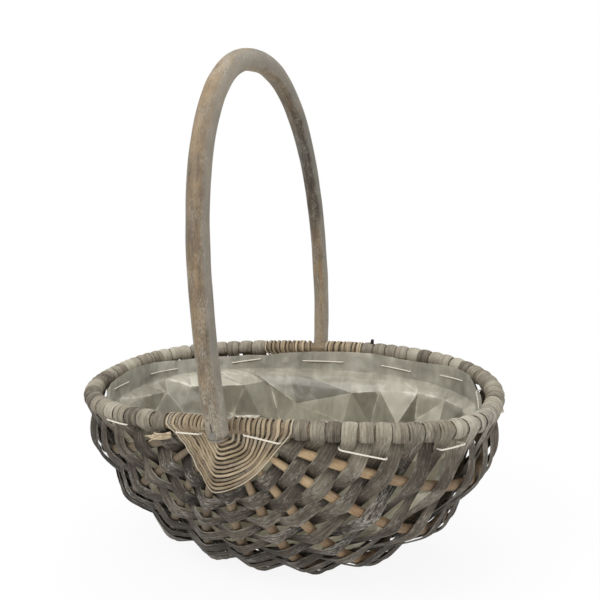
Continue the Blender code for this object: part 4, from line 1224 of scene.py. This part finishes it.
def make_thread():
    """A running stitch through the liner and the weave, with the places that the photograph shows."""
    points = []
    for i, (column, drop) in enumerate(STITCH_CROSSINGS):
        next_column, next_drop = STITCH_CROSSINGS[(i + 1) % len(STITCH_CROSSINGS)]
        span = (next_column - column) % LINER_COLUMNS
        for step in range(STITCH_STEPS + 1):
            share = step / STITCH_STEPS
            points.append(thread_spot(column + span * share, drop + (next_drop - drop) * share, i % 2 == 0))
    dense = []
    for first, second in zip(points, points[1:] + points[:1]):
        dense += [first * (1 - k / 4) + second * (k / 4) for k in range(4)]
    dense = np.array(dense)
    for _ in range(3):
        dense = soften(dense)
    angles = [2 * math.pi * k / 8 for k in range(8)]
    rings = []
    for point, tangent in zip(dense, loop_ways(dense)):
        a = unit(np.cross(tangent, (0.02, 0.03, 1.0)))
        b = np.cross(tangent, a)
        rings.append([point + THREAD_RADIUS * (math.cos(q) * a + math.sin(q) * b) for q in angles])
    across = [0.0006 * k for k in range(9)]
    thread = skin("thread", rings, across, loop_lengths(dense), [(0.5, 0, 0)] * len(dense), closed=True)
    place_piece(thread, thread_material, "thread", "stitch_thread")


# Stage

def make_stage(box):
    """A plain pale floor that bends up into a wall behind; it shows white, and keeps the shadow."""
    size, height, bend = 4.0, 3.0, 1.0
    profile = [(-size, 0.0)]
    for step in range(13):
        angle = math.pi / 2 * step / 12
        profile.append((size - bend + bend * math.sin(angle), bend - bend * math.cos(angle)))
    profile.append((size, height))
    verts = [(x, y, box[0][2] + z) for y, z in profile for x in (-size * 2, size * 2)]
    faces = [(2 * i, 2 * i + 1, 2 * i + 3, 2 * i + 2) for i in range(len(profile) - 1)]
    mesh = bpy.data.meshes.new("floor")
    mesh.from_pydata(verts, [], faces)
    mesh.shade_smooth()
    floor = add_object("floor", mesh)
    material, g, shader = new_material("pale_floor")
    shader.inputs["Base Color"].default_value = (0.88, 0.88, 0.88, 1.0)
    shader.inputs["Roughness"].default_value = 0.95
    shader.inputs["Specular IOR Level"].default_value = 0.0
    glow = g.add("ShaderNodeEmission", {"Color": (1.0, 1.0, 1.0, 1.0), "Strength": 1.0})
    place = g.add("ShaderNodeNewGeometry").outputs["Position"]
    reach = g.add("ShaderNodeVectorMath", {0: place}, operation="LENGTH").outputs["Value"]
    white = g.math("ADD", 0.90, g.smooth(reach, 0.30, 0.75, 0.10))
    g.blend_surface(g.math("MULTIPLY", g.background_rays(), white), shader, glow)
    mesh.materials.append(material)


def make_light(name, place, target, size, power):
    lamp = bpy.data.lights.new(name, "AREA")
    lamp.shape = "DISK"
    lamp.size = size
    lamp.energy = power
    holder = add_object(name, lamp)
    holder.location = place
    holder.rotation_euler = (Vector(target) - Vector(place)).to_track_quat("-Z", "Y").to_euler()


def make_world():
    world = bpy.data.worlds.new("studio")
    bpy.context.scene.world = world
    world.use_nodes = True
    g = Graph(world.node_tree)
    background = next(n for n in world.node_tree.nodes if n.type == "BACKGROUND")
    g.link(g.math("MULTIPLY_ADD", g.background_rays(), 0.45, 0.55), background, "Strength")
    background.inputs["Color"].default_value = (1.0, 1.0, 1.0, 1.0)


def make_camera():
    """The photograph's view, fitted to points on the rim and the handle."""
    azimuth, elevation, distance = math.radians(22.266), math.radians(18.399), 0.8066
    pan, tilt, roll = math.radians(20.893), math.radians(-12.256), -0.0352
    target = np.array([-0.0041, -0.0032, 0.1741])
    level_share = math.cos(elevation)
    place = target + distance * np.array([
        math.sin(azimuth) * level_share, -math.cos(azimuth) * level_share, math.sin(elevation)])
    forward = np.array([-math.sin(pan) * math.cos(tilt), math.cos(pan) * math.cos(tilt), math.sin(tilt)])
    level = np.array([math.cos(pan), math.sin(pan), 0.0])
    raised = np.cross(level, forward)
    right = math.cos(roll) * level + math.sin(roll) * raised
    up = -math.sin(roll) * level + math.cos(roll) * raised
    data = bpy.data.cameras.new("camera")
    data.sensor_width = 36.0
    data.lens = 48.0
    camera = add_object("camera", data)
    camera.matrix_world = Matrix([[*row] for row in zip(right, up, -forward, place)] + [[0, 0, 0, 1]])
    bpy.context.scene.camera = camera


make_camera()
make_rim()
make_ribs()
make_handle()
for row in range(STRIP_COUNT):
    make_strip(row)
make_lashing(False)
make_lashing(True)
make_small_pieces()
make_liner()
make_thread()
for node_name in ("handle_nail_near", "handle_nail_far"):
    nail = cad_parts[node_name]
    nail.data.materials.clear()
    nail.data.materials.append(nail_steel)
make_stage(cad_box)
make_light("key", (-0.9, -1.3, 1.9), (0, 0, 0.2), 1.6, 26)
make_light("fill", (1.6, -1.2, 1.3), (0, 0, 0.2), 1.8, 14)
make_light("top", (0.1, 0.5, 2.2), (0, 0, 0.2), 1.8, 18)
make_world()
bpy.context.scene.view_settings.view_transform = "Standard"
